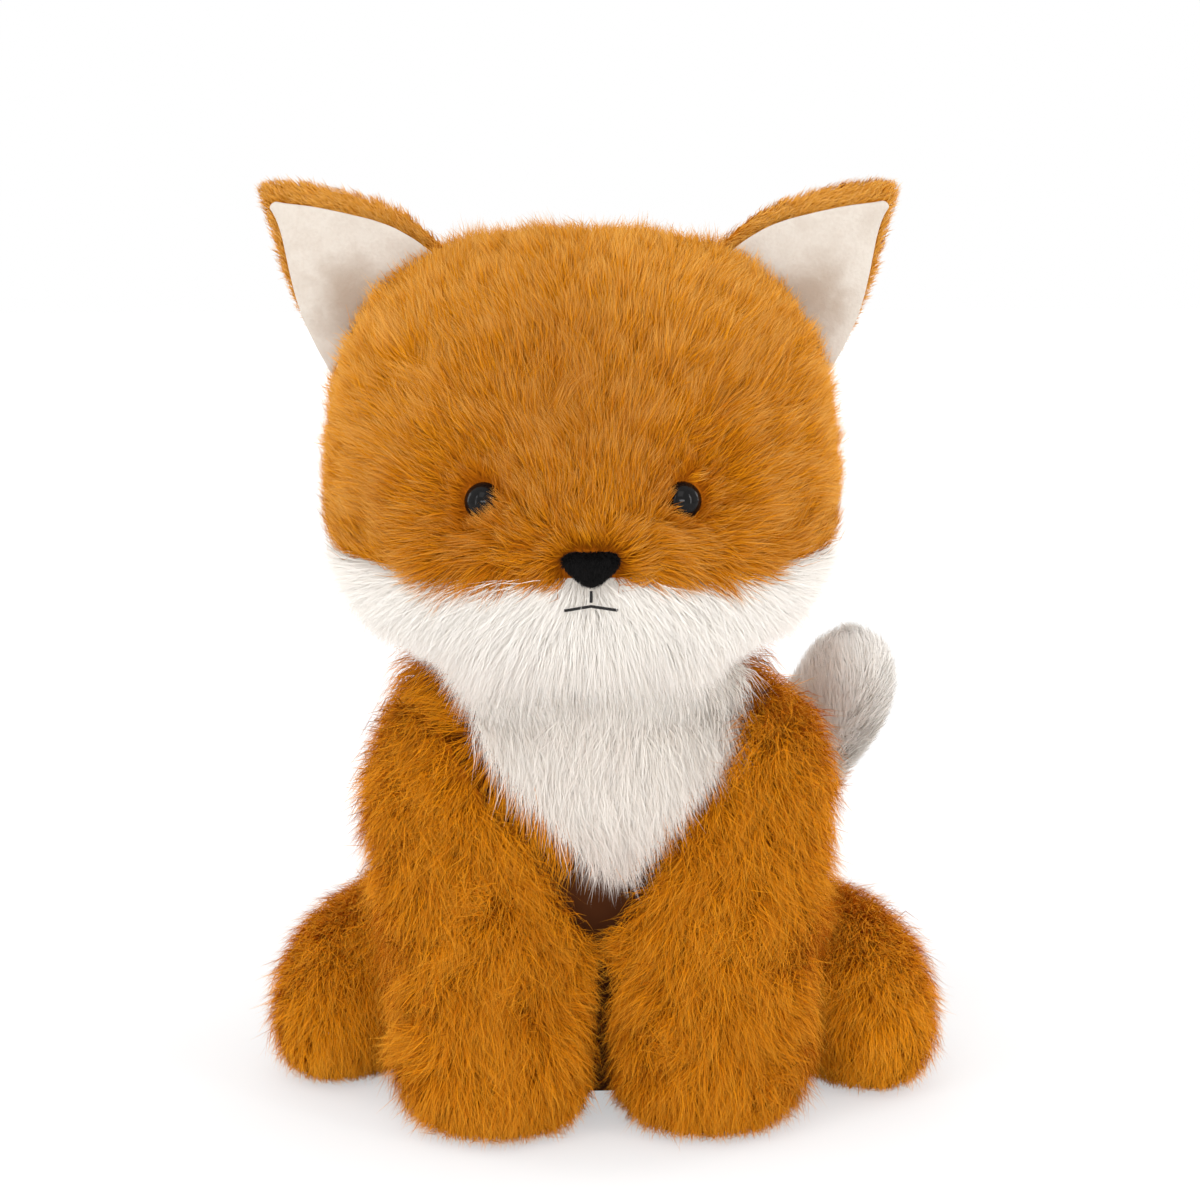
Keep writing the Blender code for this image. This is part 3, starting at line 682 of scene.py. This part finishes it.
# %% Ribbons
def ribbon_mesh(name, points, side, facing, shade):
    """Two corners at each station but the last, which is a point, with shading normals and a UV map."""
    count, stations = points.shape[:2]
    corners = 2 * stations - 1
    places = np.repeat(points, 2, axis=1)[:, :-1]
    places[:, 0:-1:2] -= side[:, :-1]
    places[:, 1:-1:2] += side[:, :-1]
    normals = np.repeat(facing, 2, axis=1)[:, :-1]
    pattern, starts = [], []
    for step in range(stations - 2):
        starts.append(len(pattern))
        pattern += [2 * step, 2 * step + 1, 2 * step + 3, 2 * step + 2]
    starts.append(len(pattern))
    pattern += [corners - 3, corners - 2, corners - 1]
    base = np.arange(count)[:, None]
    mesh = bpy.data.meshes.new(name)
    mesh.vertices.add(count * corners)
    mesh.loops.add(count * len(pattern))
    mesh.polygons.add(count * len(starts))
    mesh.vertices.foreach_set("co", places.ravel())
    mesh.loops.foreach_set("vertex_index", (base * corners + np.array(pattern)).ravel())
    mesh.polygons.foreach_set("loop_start", (base * len(pattern) + np.array(starts)).ravel())
    mesh.update(calc_edges=True)
    u_offset = np.array([(-0.003, 0.003)[corner % 2] for corner in pattern])
    u_offset[-1] = 0
    uv = np.empty((count, len(pattern), 2))
    uv[:, :, 0] = shade[:, None] + u_offset
    uv[:, :, 1] = [shares[corner // 2] for corner in pattern]
    mesh.uv_layers.new(name="OFBake").data.foreach_set("uv", uv.ravel())
    mesh.shade_smooth()
    mesh.normals_split_custom_set_from_vertices(normals.reshape(-1, 3))
    return mesh


most_triangles = 190000  # in one piece
above_floor = 0.0006
floor_spread = 0.0004


def plant(body, node, coat, form, cover, kind="pile"):
    """Grows a coat on a form as one piece or more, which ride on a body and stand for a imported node."""
    name = f"{node.removesuffix('_skin')}_{kind}"
    rng = np.random.default_rng(coat["seed"])
    count = coat["count"]
    roots, out, free = scatter(form, cover, count, coat["keep"], rng)
    strict = coat["keep"](roots) > 0.5
    roots, out, free = roots[strict], out[strict], free[strict]
    lock_at = rng.choice(len(roots), size=max(len(roots) // coat["per_lock"], 2), replace=False)
    tress_at = lock_at[: max(len(lock_at) // coat["per_tress"], 2)]

    def strands(chosen, wild):
        return combed_set(roots[chosen], out[chosen], free[chosen], coat, rng, wild)

    tress_points = strands(tress_at, coat["wild"])
    lock_points = strands(lock_at, 0.7 * coat["wild"])
    tress_roots, lock_roots = roots[tress_at], roots[lock_at]
    tress_of_lock = nearest(lock_roots, tress_roots)
    lock_points = drawn_to(
        lock_points, lock_roots, tress_points, tress_roots, tress_of_lock, coat["tress_pull"]
    )
    points = strands(slice(None), coat["stray"])
    lock_of = nearest(roots, lock_roots)
    points = drawn_to(points, roots, lock_points, lock_roots, lock_of, coat["lock_pull"])
    lowest = above_floor + floor_spread * rng.random(len(points))[:, None]
    points[..., 2] = np.maximum(points[..., 2], lowest)

    # The shading normal leans away from the middle of the lock, which rounds each lock
    heading = unit(np.gradient(points, axis=1))
    lean = unit(roots - lock_roots[lock_of])
    facing = out[:, None, :] + coat["rounding"] * lean[:, None, :]
    facing = unit(facing - 0.6 * heading * (facing * heading).sum(axis=2, keepdims=True))
    roll = rng.normal(0, 0.6, len(points))
    flat = unit(np.cross(heading, out[:, None, :]))
    side = flat * np.cos(roll)[:, None, None] + np.cross(heading, flat) * np.sin(roll)[:, None, None]
    turn = np.sign((np.cross(side, heading) * facing).sum(axis=2).mean(axis=1))
    taper = np.interp(shares, (0, 0.5, 1), (1.0, 0.85, 0.1))[None, :, None]
    half = coat["width"] / 2 * rng.uniform(0.7, 1.3, len(points))[:, None, None]
    side = side * turn[:, None, None] * taper * half

    lock_shade = rng.normal(0, 0.16, len(lock_at))[lock_of]
    patch = waves(roots, 0.045, coat["seed"] + 5)[:, 0] * 0.07
    shade = coat["shade"](roots) + patch + lock_shade + rng.normal(0, 0.17, len(roots))
    shade = np.clip(shade, 0.02, 0.98)

    # A large coat is split into pieces, along the locks from one side to the other
    pieces = math.ceil(len(points) * (2 * len(shares) - 3) / most_triangles)
    order = np.argsort(lock_roots[lock_of][:, 0], kind="stable")
    for index, chosen in enumerate(np.array_split(order, pieces)):
        label = name if pieces == 1 else f"{name}_{index + 1}"
        mesh = ribbon_mesh(label, points[chosen], side[chosen], facing[chosen], shade[chosen])
        stand_in(linked(label, mesh), coat["finish"], body, node)
    print(f"{name}: {len(points)} fibres in {pieces} piece(s), mean length "
          f"{1000 * np.linalg.norm(points[:, -1] - points[:, 0], axis=1).mean():.1f} mm")


def cloth_piece(form, body, node, finish, cuts=()):
    """A padded piece of a form, cut off by planes whose normals point to the side that goes."""
    shape = bmesh.new()
    shape.from_mesh(form.data)
    for place, normal in cuts:
        geometry = shape.verts[:] + shape.edges[:] + shape.faces[:]
        cut = bmesh.ops.bisect_plane(
            shape, geom=geometry, dist=0.00001, plane_co=place, plane_no=normal, clear_outer=True
        )
        rim = [item for item in cut["geom_cut"] if isinstance(item, bmesh.types.BMEdge)]
        bmesh.ops.holes_fill(shape, edges=rim, sides=0)
    piece = new_piece(f"{node.removesuffix('_skin')}_cloth", shape)
    stand_in(piece, finish, body, node)


def put_away(form):
    """The form has served: only the pieces made from it stay."""
    bpy.data.objects.remove(form)


# %% [markdown]
# ## Head
# Three panels meet here: the orange crown, the cream cheeks below the face seam and the orange back. The
# pile is brushed away from the bridge of the nose, up over the forehead and out over the temples, down over
# the back, and down from the seam over the cheeks. Round the eyes and nose it is parted and shorter, as
# a maker trims it.

# %% Where things are on the head
cheeks_low, cheeks_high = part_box("head_cheeks")
nose_low, nose_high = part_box("nose")
head_middle = cheeks_low.x / 2 + cheeks_high.x / 2
seam_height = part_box("head_crown")[0].z
neck_height = cheeks_low.z
back_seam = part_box("head_back")[0].y
bridge = np.array((head_middle, nose_low.y, nose_low.z - 0.002))
nose_middle = (nose_low + nose_high) / 2
nose_half_width = 0.0092
nose_half_height = 0.0052
nose_radius = 0.007
nose_edge = -0.0008
ear_surface = surface_of(["ear_left_lining", "ear_right_lining", "ear_left_back", "ear_right_back"])
print("seam at", round(1000 * seam_height, 1), "mm, eyes at",
      [[round(1000 * float(value), 1) for value in eye] for eye in eye_middles])


def from_nose(places):
    """How far outside the nose's outline a place on the face is, in metres."""
    across = (places[:, 0] - nose_middle.x) / nose_half_width
    up = (places[:, 2] - nose_middle.z) / nose_half_height
    return np.where(places[:, 1] < -0.03, (np.hypot(across, up) - 1) * nose_radius, 1.0)


def face_room(places):
    """How much of its length a fibre keeps near the eyes and the nose."""
    far, _ = from_eyes(places)
    near_eye = 0.38 + 0.62 * eased(far, 0.005, 0.018)
    near_nose = 0.60 + 0.40 * eased(from_nose(places), 0.0, 0.026)
    near_ear = 1.15 - 0.15 * eased(apart(places, ear_surface), 0.004, 0.016)
    temple = eased(np.abs(places[:, 0] - head_middle), 0.058, 0.078)
    temple = temple * eased(places[:, 2], seam_height, seam_height + 0.020)
    return near_eye * near_nose * near_ear * (1 - 0.30 * temple)


def beside_seam(places):
    """The ends of the face seam, where orange and cream stand out alike."""
    aside = eased(np.abs(places[:, 0] - head_middle), 0.038, 0.062)
    return aside * (1 - eased(np.abs(places[:, 2] - seam_height), 0.003, 0.024))


def low_sides(places):
    """The lower cheeks over the shoulders."""
    aside = eased(np.abs(places[:, 0] - head_middle), 0.026, 0.046)
    return aside * (1 - eased(places[:, 2], neck_height + 0.004, neck_height + 0.030))


def crown_room(places):
    return face_room(places) * (1 - 0.25 * beside_seam(places))


def cheek_room(places):
    under_nose = 1 + 0.4 * np.exp(-((from_nose(places) / 0.010) ** 2))
    return face_room(places) * under_nose * (1 - 0.45 * low_sides(places))


def face_painted_shading(places):
    """Painted shade in the hollows round the eyes, and painted light: paler away from the middle of the face.
    """
    outer = eased(np.linalg.norm(places - bridge, axis=1), 0.045, 0.100)
    return 0.40 + 0.42 * outer - 0.35 * (1 - eased(from_eyes(places)[0], 0.006, 0.013))


def parted(ways, places):
    far, away = from_eyes(places)
    return ways + 0.6 * away * np.exp(-((far / 0.010) ** 2))[:, None]


def crown_way(places, out):
    ways = unit(places - bridge)
    down_back = eased(places[:, 1], 0.0, 0.05)[:, None]
    ways = ways * (1 - down_back) + np.array((0, 0.25, -1.0)) * down_back
    aside = np.abs(places[:, 0] - head_middle)
    fringe = (1 - eased(places[:, 2] - seam_height, 0.001, 0.012)) * (1 - eased(aside, 0.035, 0.060))
    ways = ways + np.array((0, 0, -1.3)) * fringe[:, None]
    ways = ways + np.array((0, 0, 0.80)) * beside_seam(places)[:, None]
    return parted(ways, places)


def cheek_way(places, out):
    down = -0.85 * (1 - 0.8 * beside_seam(places))
    ways = unit(places - bridge) * np.array((1, 0.5, 1)) + np.array((0, -0.1, 1)) * down[:, None]
    return parted(ways, places)


def chin_hang(places):
    """Under the chin the pile hangs over the top of the bib."""
    front = (1 - eased(places[:, 1], -0.02, 0.01)) * (1 - low_sides(places))
    return 0.9 * front * (1 - eased(places[:, 2], neck_height + 0.008, neck_height + 0.028))


def on_crown(places):
    clear = (from_eyes(places)[0] > 0.0056) & (from_nose(places) > nose_edge)
    return ((places[:, 2] > seam_height) & (places[:, 1] < back_seam) & clear).astype(float)


def on_back(places):
    return (places[:, 1] >= back_seam).astype(float)


def on_cheeks(places):
    below = (places[:, 2] <= seam_height) & (places[:, 1] < back_seam)
    return (below & (from_nose(places) > nose_edge)).astype(float)


# %% Head pile and cloth
def always(value):
    return lambda places: np.full(len(places), float(value))


long_coat = {
    "width": 0.00022, "length": 0.0160, "lift": 56, "fall": 4, "swirl": 0.30, "swirl_size": 0.030,
    "per_lock": 14, "per_tress": 10, "lock_pull": 0.50, "tress_pull": 0.35, "wild": 0.30,
    "frizz": 0.0011, "rounding": 0.35, "stray": 0.30, "hang": always(0), "longer": always(1),
    "shade": always(0.52), "finish": orange, "slot": "orange_pile",
}
cream_coat = {**long_coat, "finish": cream, "slot": "cream_pile"}
head_cover = clear_cover(
    head_form, body_nodes + ["foreleg_left_skin", "foreleg_right_skin"], -0.004, 0.002
)
plant("head", "head_crown", {
    **long_coat, "count": 138000, "keep": on_crown, "way": crown_way, "longer": crown_room, "seed": 11,
    "swirl": 0.18, "wild": 0.44, "shade": face_painted_shading, "lock_pull": 0.62, "tress_pull": 0.48,
    "per_lock": 18, "stray": 0.45, "frizz": 0.0013,
}, head_form, head_cover)
plant("head", "head_back", {
    **long_coat, "count": 30000, "keep": on_back, "way": crown_way, "seed": 12, "longer": face_room,
}, head_form, head_cover)
chin = places_of(head_form.data)[:, 1] < -0.015
plant("head", "head_cheeks", {
    **cream_coat, "count": 76000, "keep": on_cheeks, "way": cheek_way, "longer": cheek_room,
    "seed": 13, "swirl": 0.12, "wild": 0.20, "lock_pull": 0.18, "tress_pull": 0.15, "lift": 52,
    "rounding": 0.0, "frizz": 0.0008, "hang": chin_hang, "width": 0.00018,
}, head_form, np.where(chin, np.maximum(head_cover, 0.75), head_cover))

seam_place = (0, 0, seam_height)
back_place = (0, back_seam, 0)
cloth_piece(head_form, "head", "head_crown", orange_backing,
            ((seam_place, (0, 0, -1)), (back_place, (0, 1, 0))))
cloth_piece(head_form, "head", "head_cheeks", cream_backing,
            ((seam_place, (0, 0, 1)), (back_place, (0, 1, 0))))
cloth_piece(head_form, "head", "head_back", orange_backing, ((back_place, (0, -1, 0)),))
put_away(head_form)

# %% [markdown]
# ## Body and bib
# The bib is a V of cream pile let into the orange body. Its fibres hang straight down, while the body's are
# brushed down and back and lie in looser tresses.

# %% Body pile and cloth
bib_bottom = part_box("chest_bib")[0].z
between_legs = -0.002


def in_the_v(places, centre, heights, half_widths):
    width = np.interp(places[:, 2], heights, half_widths, left=0)
    return (np.abs(places[:, 0] - centre) < width) & (places[:, 1] < -0.005)


def bib_panel(places):
    """The sewn-in cloth of the bib, which its own pile hangs over at the lower end."""
    heights = (0.090, 0.098, 0.111, 0.121, 0.131, 0.160)
    half_widths = (0, 0.010, 0.021, 0.031, 0.041, 0.050)
    return in_the_v(places, 0, heights, half_widths)


def on_bib(places):
    """Where the bib's pile shows: the body's pile is brushed over the panel's edges."""
    heights = (0.087, 0.096, 0.111, 0.121, 0.131, 0.145, 0.160)
    half_widths = (0.003, 0.013, 0.025, 0.036, 0.040, 0.037, 0.030)
    return in_the_v(places, 0.0020, heights, half_widths).astype(float)


def on_body(places):
    """All but the bib and the bare hollow below it."""
    hollow = (np.abs(places[:, 0] - between_legs) < 0.022) & (places[:, 1] < -0.015)
    return (1 - on_bib(places)) * ~(hollow & (places[:, 2] < bib_bottom + 0.016))


def at_neck(places):
    """The body's upper sides, which the head presses on."""
    return eased(places[:, 2], 0.112, 0.126) * eased(np.abs(places[:, 0]), 0.026, 0.040)


def body_way(places, out):
    ruff = at_neck(places)[:, None] * np.sign(places[:, :1]) * np.array((1.6, 0, 0))
    return np.array((0, 0.15, -1.0)) + 0.25 * out * np.array((1, 1, 0)) + ruff


def bib_way(places, out):
    return np.array((0, -0.1, -1.0)) - 0.5 * np.array((1, 0, 0)) * places[:, :1] / 0.05


def shoulder_room(places):
    """Longer at the top of the shoulders, and a little longer on the fox's left."""
    return 1 + at_neck(places) * (0.10 + 0.20 * (places[:, 0] > 0))


def leg_shade(base, places):
    """The higher parts catch more light."""
    return base + 0.15 * eased(places[:, 2], 0.070, 0.110)


def bib_shade(places):
    """Dusky at the lower end, which lies in the legs' shade."""
    return 0.72 - 0.62 * (1 - eased(places[:, 2], 0.086, 0.110))


body_cover = clear_cover(body_form, all_leg_nodes + head_nodes + ["tail_sleeve"], -0.005, 0.0015)
shoulders = places_of(body_form.data)[:, 2] > 0.118
plant("torso", "torso_skin", {
    **long_coat, "count": 44000, "keep": on_body, "longer": shoulder_room, "way": body_way,
    "seed": 21, "swirl": 0.35, "finish": leg_orange, "stray": 0.4, "frizz": 0.0014,
    "length": 0.0175, "shade": partial(leg_shade, 0.54),
}, body_form, np.where(shoulders, np.maximum(body_cover, 0.5), body_cover))
plant("torso", "chest_bib", {
    **cream_coat, "count": 42000, "keep": on_bib, "way": bib_way, "seed": 22, "length": 0.019,
    "finish": bib_cream, "shade": bib_shade, "swirl": 0.18, "wild": 0.26, "lock_pull": 0.25,
    "tress_pull": 0.2, "lift": 48, "rounding": 0.05, "frizz": 0.0012, "width": 0.0002,
}, body_form, np.maximum(body_cover, 0.75))
# The body's cloth wears the painted shade, which shows in the bare hollow below the bib.
cloth_piece(body_form, "torso", "torso_skin", shaded_backing)

# The bib's cloth is the V's part of the form, lifted a little and given a thickness. Solidify adds its faces
# in an order that changes from run to run, so they are sorted.
patch = bmesh.new()
patch.from_mesh(body_form.data)
middles = np.array([face.calc_center_median() for face in patch.faces])
outside_v = [face for face, inside in zip(patch.faces, bib_panel(middles)) if not inside]
bmesh.ops.delete(patch, geom=outside_v, context="FACES")
bib_lift = 0.0011
bib_thickness = 0.0008
for vertex in patch.verts:
    vertex.co += vertex.normal * bib_lift
bmesh.ops.solidify(patch, geom=patch.faces, thickness=bib_thickness)
patch.verts.sort(key=lambda vertex: vertex.co.dot(skew))
patch.faces.sort(key=lambda face: face.calc_center_median().dot(skew))
bib_cloth = new_piece("chest_bib_cloth", patch)
stand_in(bib_cloth, cream_backing, "torso", "chest_bib")
put_away(body_form)

# %% [markdown]
# ## Legs
# The pile on the legs is the messiest of all: it is handled most. It runs down to the paws with strong
# swirls, and round the paws the tresses go every way. Nothing reaches below the floor.

# %% Leg pile and cloth
def foreleg_way(places, out):
    return np.array((0, -0.25, -1.0)) + 0.25 * out


def hindleg_way(places, out):
    return np.array((0, -0.30, -0.85)) + 0.35 * out


def leg_room(places):
    """Shorter by the floor, and where the forelegs face each other."""
    by_floor = 0.40 + 0.60 * eased(places[:, 2], 0.002, 0.022)
    between = (1 - eased(np.abs(places[:, 0] - between_legs), 0.004, 0.016)) * (places[:, 1] < 0)
    corner = 0.30 * eased(-places[:, 0], 0.020, 0.050) * eased(places[:, 2], 0.090, 0.118)
    return by_floor * (1 - 0.45 * between) * (1 - corner)


fore_coat = {
    "count": 55000, "way": foreleg_way, "swirl": 0.50, "length": 0.0140, "shade": partial(leg_shade, 0.54),
}
# Painted light: the hind legs' pile is set paler (0.95) than the forelegs', as they get less lamp light.
hind_coat = {
    "count": 37000, "way": hindleg_way, "swirl": 0.28, "length": 0.0105, "shade": partial(leg_shade, 0.95),
}
for index, leg in enumerate(leg_names):
    others = [name for name in all_leg_nodes if not name.startswith(leg)]
    cover = clear_cover(leg_forms[leg], body_nodes + others)
    plant("torso", f"{leg}_skin", {
        **long_coat, **(fore_coat if leg.startswith("foreleg") else hind_coat), "seed": 31 + index,
        "keep": always(1), "swirl_size": 0.020, "wild": 0.45, "lift": 60, "fall": 14, "stray": 0.60,
        "lock_pull": 0.42, "tress_pull": 0.36, "frizz": 0.0021, "finish": leg_orange,
        "longer": leg_room, "hang": always(0.06),
    }, leg_forms[leg], cover)
    cloth_piece(leg_forms[leg], "torso", f"{leg}_skin", orange_backing)
    put_away(leg_forms[leg])

# %% [markdown]
# ## Tail
# The sleeve is orange and the tip is cream. Their seam lies square across the tail, so a place belongs to
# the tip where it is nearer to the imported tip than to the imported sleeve.

# %% Tail pile and cloth
tip_surface = surface_of(["tail_tip"])
sleeve_surface = surface_of(["tail_sleeve"])
tip_low, tip_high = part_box("tail_tip")
tail_end = np.array(((tip_low.x + tip_high.x) / 2 + 0.004, tip_low.y + 0.02, tip_high.z + 0.03))


def on_tip(places):
    return (apart(places, tip_surface) < apart(places, sleeve_surface)).astype(float)


def on_sleeve(places):
    return 1 - on_tip(places)


def tail_way(places, out):
    return tail_end - places


tail_cover = clear_cover(tail_form, body_nodes)
plant("tail", "tail_sleeve", {
    **long_coat, "count": 17000, "keep": on_sleeve, "way": tail_way, "seed": 41, "swirl": 0.35,
}, tail_form, tail_cover)
# Painted light: the tip's pile is set paler (0.90), as the body shades it from the front lamps.
plant("tail", "tail_tip", {
    **cream_coat, "count": 24000, "keep": on_tip, "way": tail_way, "seed": 42, "swirl": 0.06,
    "wild": 0.14, "length": 0.0115, "lock_pull": 0.15, "tress_pull": 0.1, "lift": 46,
    "rounding": 0.0, "frizz": 0.0005, "stray": 0.15, "shade": always(0.90),
}, tail_form, tail_cover)

# The seam's plane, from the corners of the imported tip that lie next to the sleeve
tip_corners = [vertex.co.copy() for vertex in nodes["tail_tip"].data.vertices]
at_seam = [place for place in tip_corners if sleeve_surface.find_nearest(place)[3] < 0.0006]
seam_centre = sum(at_seam, Vector()) / len(at_seam)
tip_centre = sum(tip_corners, Vector()) / len(tip_corners)
seam_normal = Vector(np.linalg.svd(np.array([place - seam_centre for place in at_seam]))[2][2])
if seam_normal.dot(tip_centre - seam_centre) < 0:
    seam_normal = -seam_normal
cloth_piece(tail_form, "tail", "tail_sleeve", orange_backing, ((seam_centre, seam_normal),))
cloth_piece(tail_form, "tail", "tail_tip", cream_backing, ((seam_centre, -seam_normal),))
put_away(tail_form)

# %% [markdown]
# ## Ears
# An ear is two leaves sewn along their edge: an orange back of short pile, which shows as a strip round the
# edge, and a cream velour lining. The velour is knitted and brushed, so it is matt and catches light at its
# edges. Its hollow, where it folds, is painted a warm shade.

# %% Ear backs with short pile
velour = Finish("cream_velour", 0.88, specular=0.12, sheen=0.35, sheen_tint=(1, 0.95, 0.9))
where = velour.place()
brushed = velour.noise(where, 900, 2.0)
mottled = velour.noise(where, 110, 4.0, 0.6)
pale = velour.blend(
    velour.steps(0.35 * brushed + 0.65 * mottled, 0.30, 0.70), (0.59, 0.52, 0.45), (0.66, 0.60, 0.53)
)
# Painted shade: a warm dark patch in each lining's hollow, centred a little below its middle.
for side in sides:
    low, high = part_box(f"ear_{side}_lining")
    painted_shade_centre = (low + high) / 2 + Vector((0, 0, -0.004))
    away = velour.wire("Value", "ShaderNodeVectorMath", {"operation": "DISTANCE"}, {0: where, 1: painted_shade_centre})
    hollow = 1 - velour.steps(away + 0.012 * mottled, 0.008, 0.024)
    pale = velour.blend(0.95 * hollow, pale, (0.40, 0.31, 0.24))
velour.put("Base Color", pale)
velour.bump(0.6 * brushed + 0.4 * mottled, 0.55, 0.0006)

ear_coat = {
    **long_coat, "length": 0.0042, "lift": 44, "fall": 10, "per_lock": 9, "swirl": 0.2, "width": 0.0002,
    "lock_pull": 0.25, "tress_pull": 0.2, "wild": 0.32, "frizz": 0.0005, "finish": ear_orange,
}
edge_spread = 0.085
edge_forward = 0.0012
for index, side in enumerate(sides):
    back, lining = f"ear_{side}_back", f"ear_{side}_lining"
    outward = 1 if side == "left" else -1
    toward_tip = np.array((0.7225 * outward, 0, 0.6914))
    leaf = remeshed(f"{back}_cloth", [back], 0.0011)
    leaf.data.shade_smooth()
    lining_surface = surface_of([lining])
    near_lining = clearance(places_of(leaf.data), lining_surface)
    near_head = clearance(places_of(leaf.data), surface_of(head_nodes))
    cover = eased(near_lining, 0.0004, 0.0016) * eased(near_head, 0.0, 0.004)
    move_to(leaf.data, places_of(leaf.data) - normals_of(leaf.data) * (0.0007 * cover)[:, None])
    plant(f"ear_{side}", back, {
        **ear_coat, "count": 14000, "seed": 51 + index,
        "keep": lambda places: eased(apart(places, lining_surface), 0.0014, 0.0020),
        "way": lambda places, out: toward_tip,
    }, leaf, cover)
    stand_in(leaf, orange_backing, f"ear_{side}", back)

    inner = new_piece(f"{lining}_velour", merged_copy([lining]))
    subdivide(inner, 2)
    # The velour's edge is brushed outward over the back's border, and lies a little forward there
    places = places_of(inner.data)
    from_middle = places - places.mean(axis=0)
    edge = eased(np.linalg.norm(from_middle[:, [0, 2]], axis=1), 0.008, 0.022)[:, None]
    spread_out = from_middle * np.array((edge_spread, 0, edge_spread)) * edge
    move_to(inner.data, places + spread_out + edge * np.array((0, -edge_forward, 0)))
    stand_in(inner, velour, f"ear_{side}", lining)
    print(side, "ear lining faces", len(inner.data.polygons))

# %% [markdown]
# ## Eyes, nose and mouth
# The eyes are moulded in one glossy black plastic. The nose is a small pad of black velvet, whose edges fray
# into the white pile. The mouth is black thread: two arms, and a short stitch up to the nose.

# %% Eyes
eye_plastic = Finish("black_plastic", 0.07, specular=0.15)
scuffs = eye_plastic.noise(eye_plastic.place(), 700, 2.0)
eye_plastic.put("Base Color", eye_plastic.blend(scuffs, (0.003, 0.003, 0.003), (0.007, 0.006, 0.006)))
eye_plastic.put("Roughness", 0.05 + 0.05 * scuffs)
for side in sides:
    eye = new_piece(f"eye_{side}_dome", merged_copy([f"eye_{side}"]))
    subdivide(eye, 2)
    stand_in(eye, eye_plastic, "head", f"eye_{side}")

# %% Nose
velvet = Finish("black_velvet", 0.95, specular=0.05, sheen=0.12, sheen_tint=(0.6, 0.6, 0.65))
nap = velvet.noise(velvet.place(), 1500, 2.0)
velvet.put("Base Color", velvet.blend(nap, (0.003, 0.003, 0.003), (0.014, 0.013, 0.013)))
velvet.bump(nap, 0.8, 0.0004)
nose_pad = new_piece("nose_pad", merged_copy(["nose"]))
subdivide(nose_pad, 2)
stand_in(nose_pad, velvet, "head", "nose")
plant("head", "nose", {
    **ear_coat, "count": 5000, "seed": 61, "length": 0.0016, "width": 0.00016, "finish": black,
    "slot": "black_velvet", "wild": 0.5, "way": lambda places, out: np.array((0, -0.1, -1.0)) + 0.5 * out,
    "keep": lambda places: (places[:, 1] < nose_middle.y).astype(float),
}, nose_pad, np.ones(len(nose_pad.data.vertices)), "nap")

# %% Mouth, and the pieces inside and under the fox
thread = Finish("black_thread", 0.7, specular=0.3, sheen=0.1)
plies = thread.weave(thread.place((1, 1, 1)), 700, "DIAGONAL")
thread.put("Base Color", thread.blend(plies, (0.004, 0.004, 0.004), (0.020, 0.018, 0.018)))
thread.bump(plies, 0.7, 0.0002)
washer_plastic = Finish("white_plastic", 0.42, specular=0.5)
grain = washer_plastic.noise(washer_plastic.place(), 300)
washer_plastic.put("Base Color", washer_plastic.blend(grain, (0.66, 0.66, 0.63), (0.74, 0.74, 0.72)))
washer_plastic.put("Roughness", 0.36 + 0.14 * grain)
carried = {
    "mouth_stitch": thread, "lip_stitch": thread, "base_panel": under_cloth, "pellet_bag": bag_cloth,
    "eye_washer_left": washer_plastic, "eye_washer_right": washer_plastic,
}
carried.update({name: filling for name in nodes if name.endswith("stuffing")})
for name, finish in carried.items():
    paint(nodes[name], finish)
print("carried over", sorted(carried))

# %% Size, and the end
low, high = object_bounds()
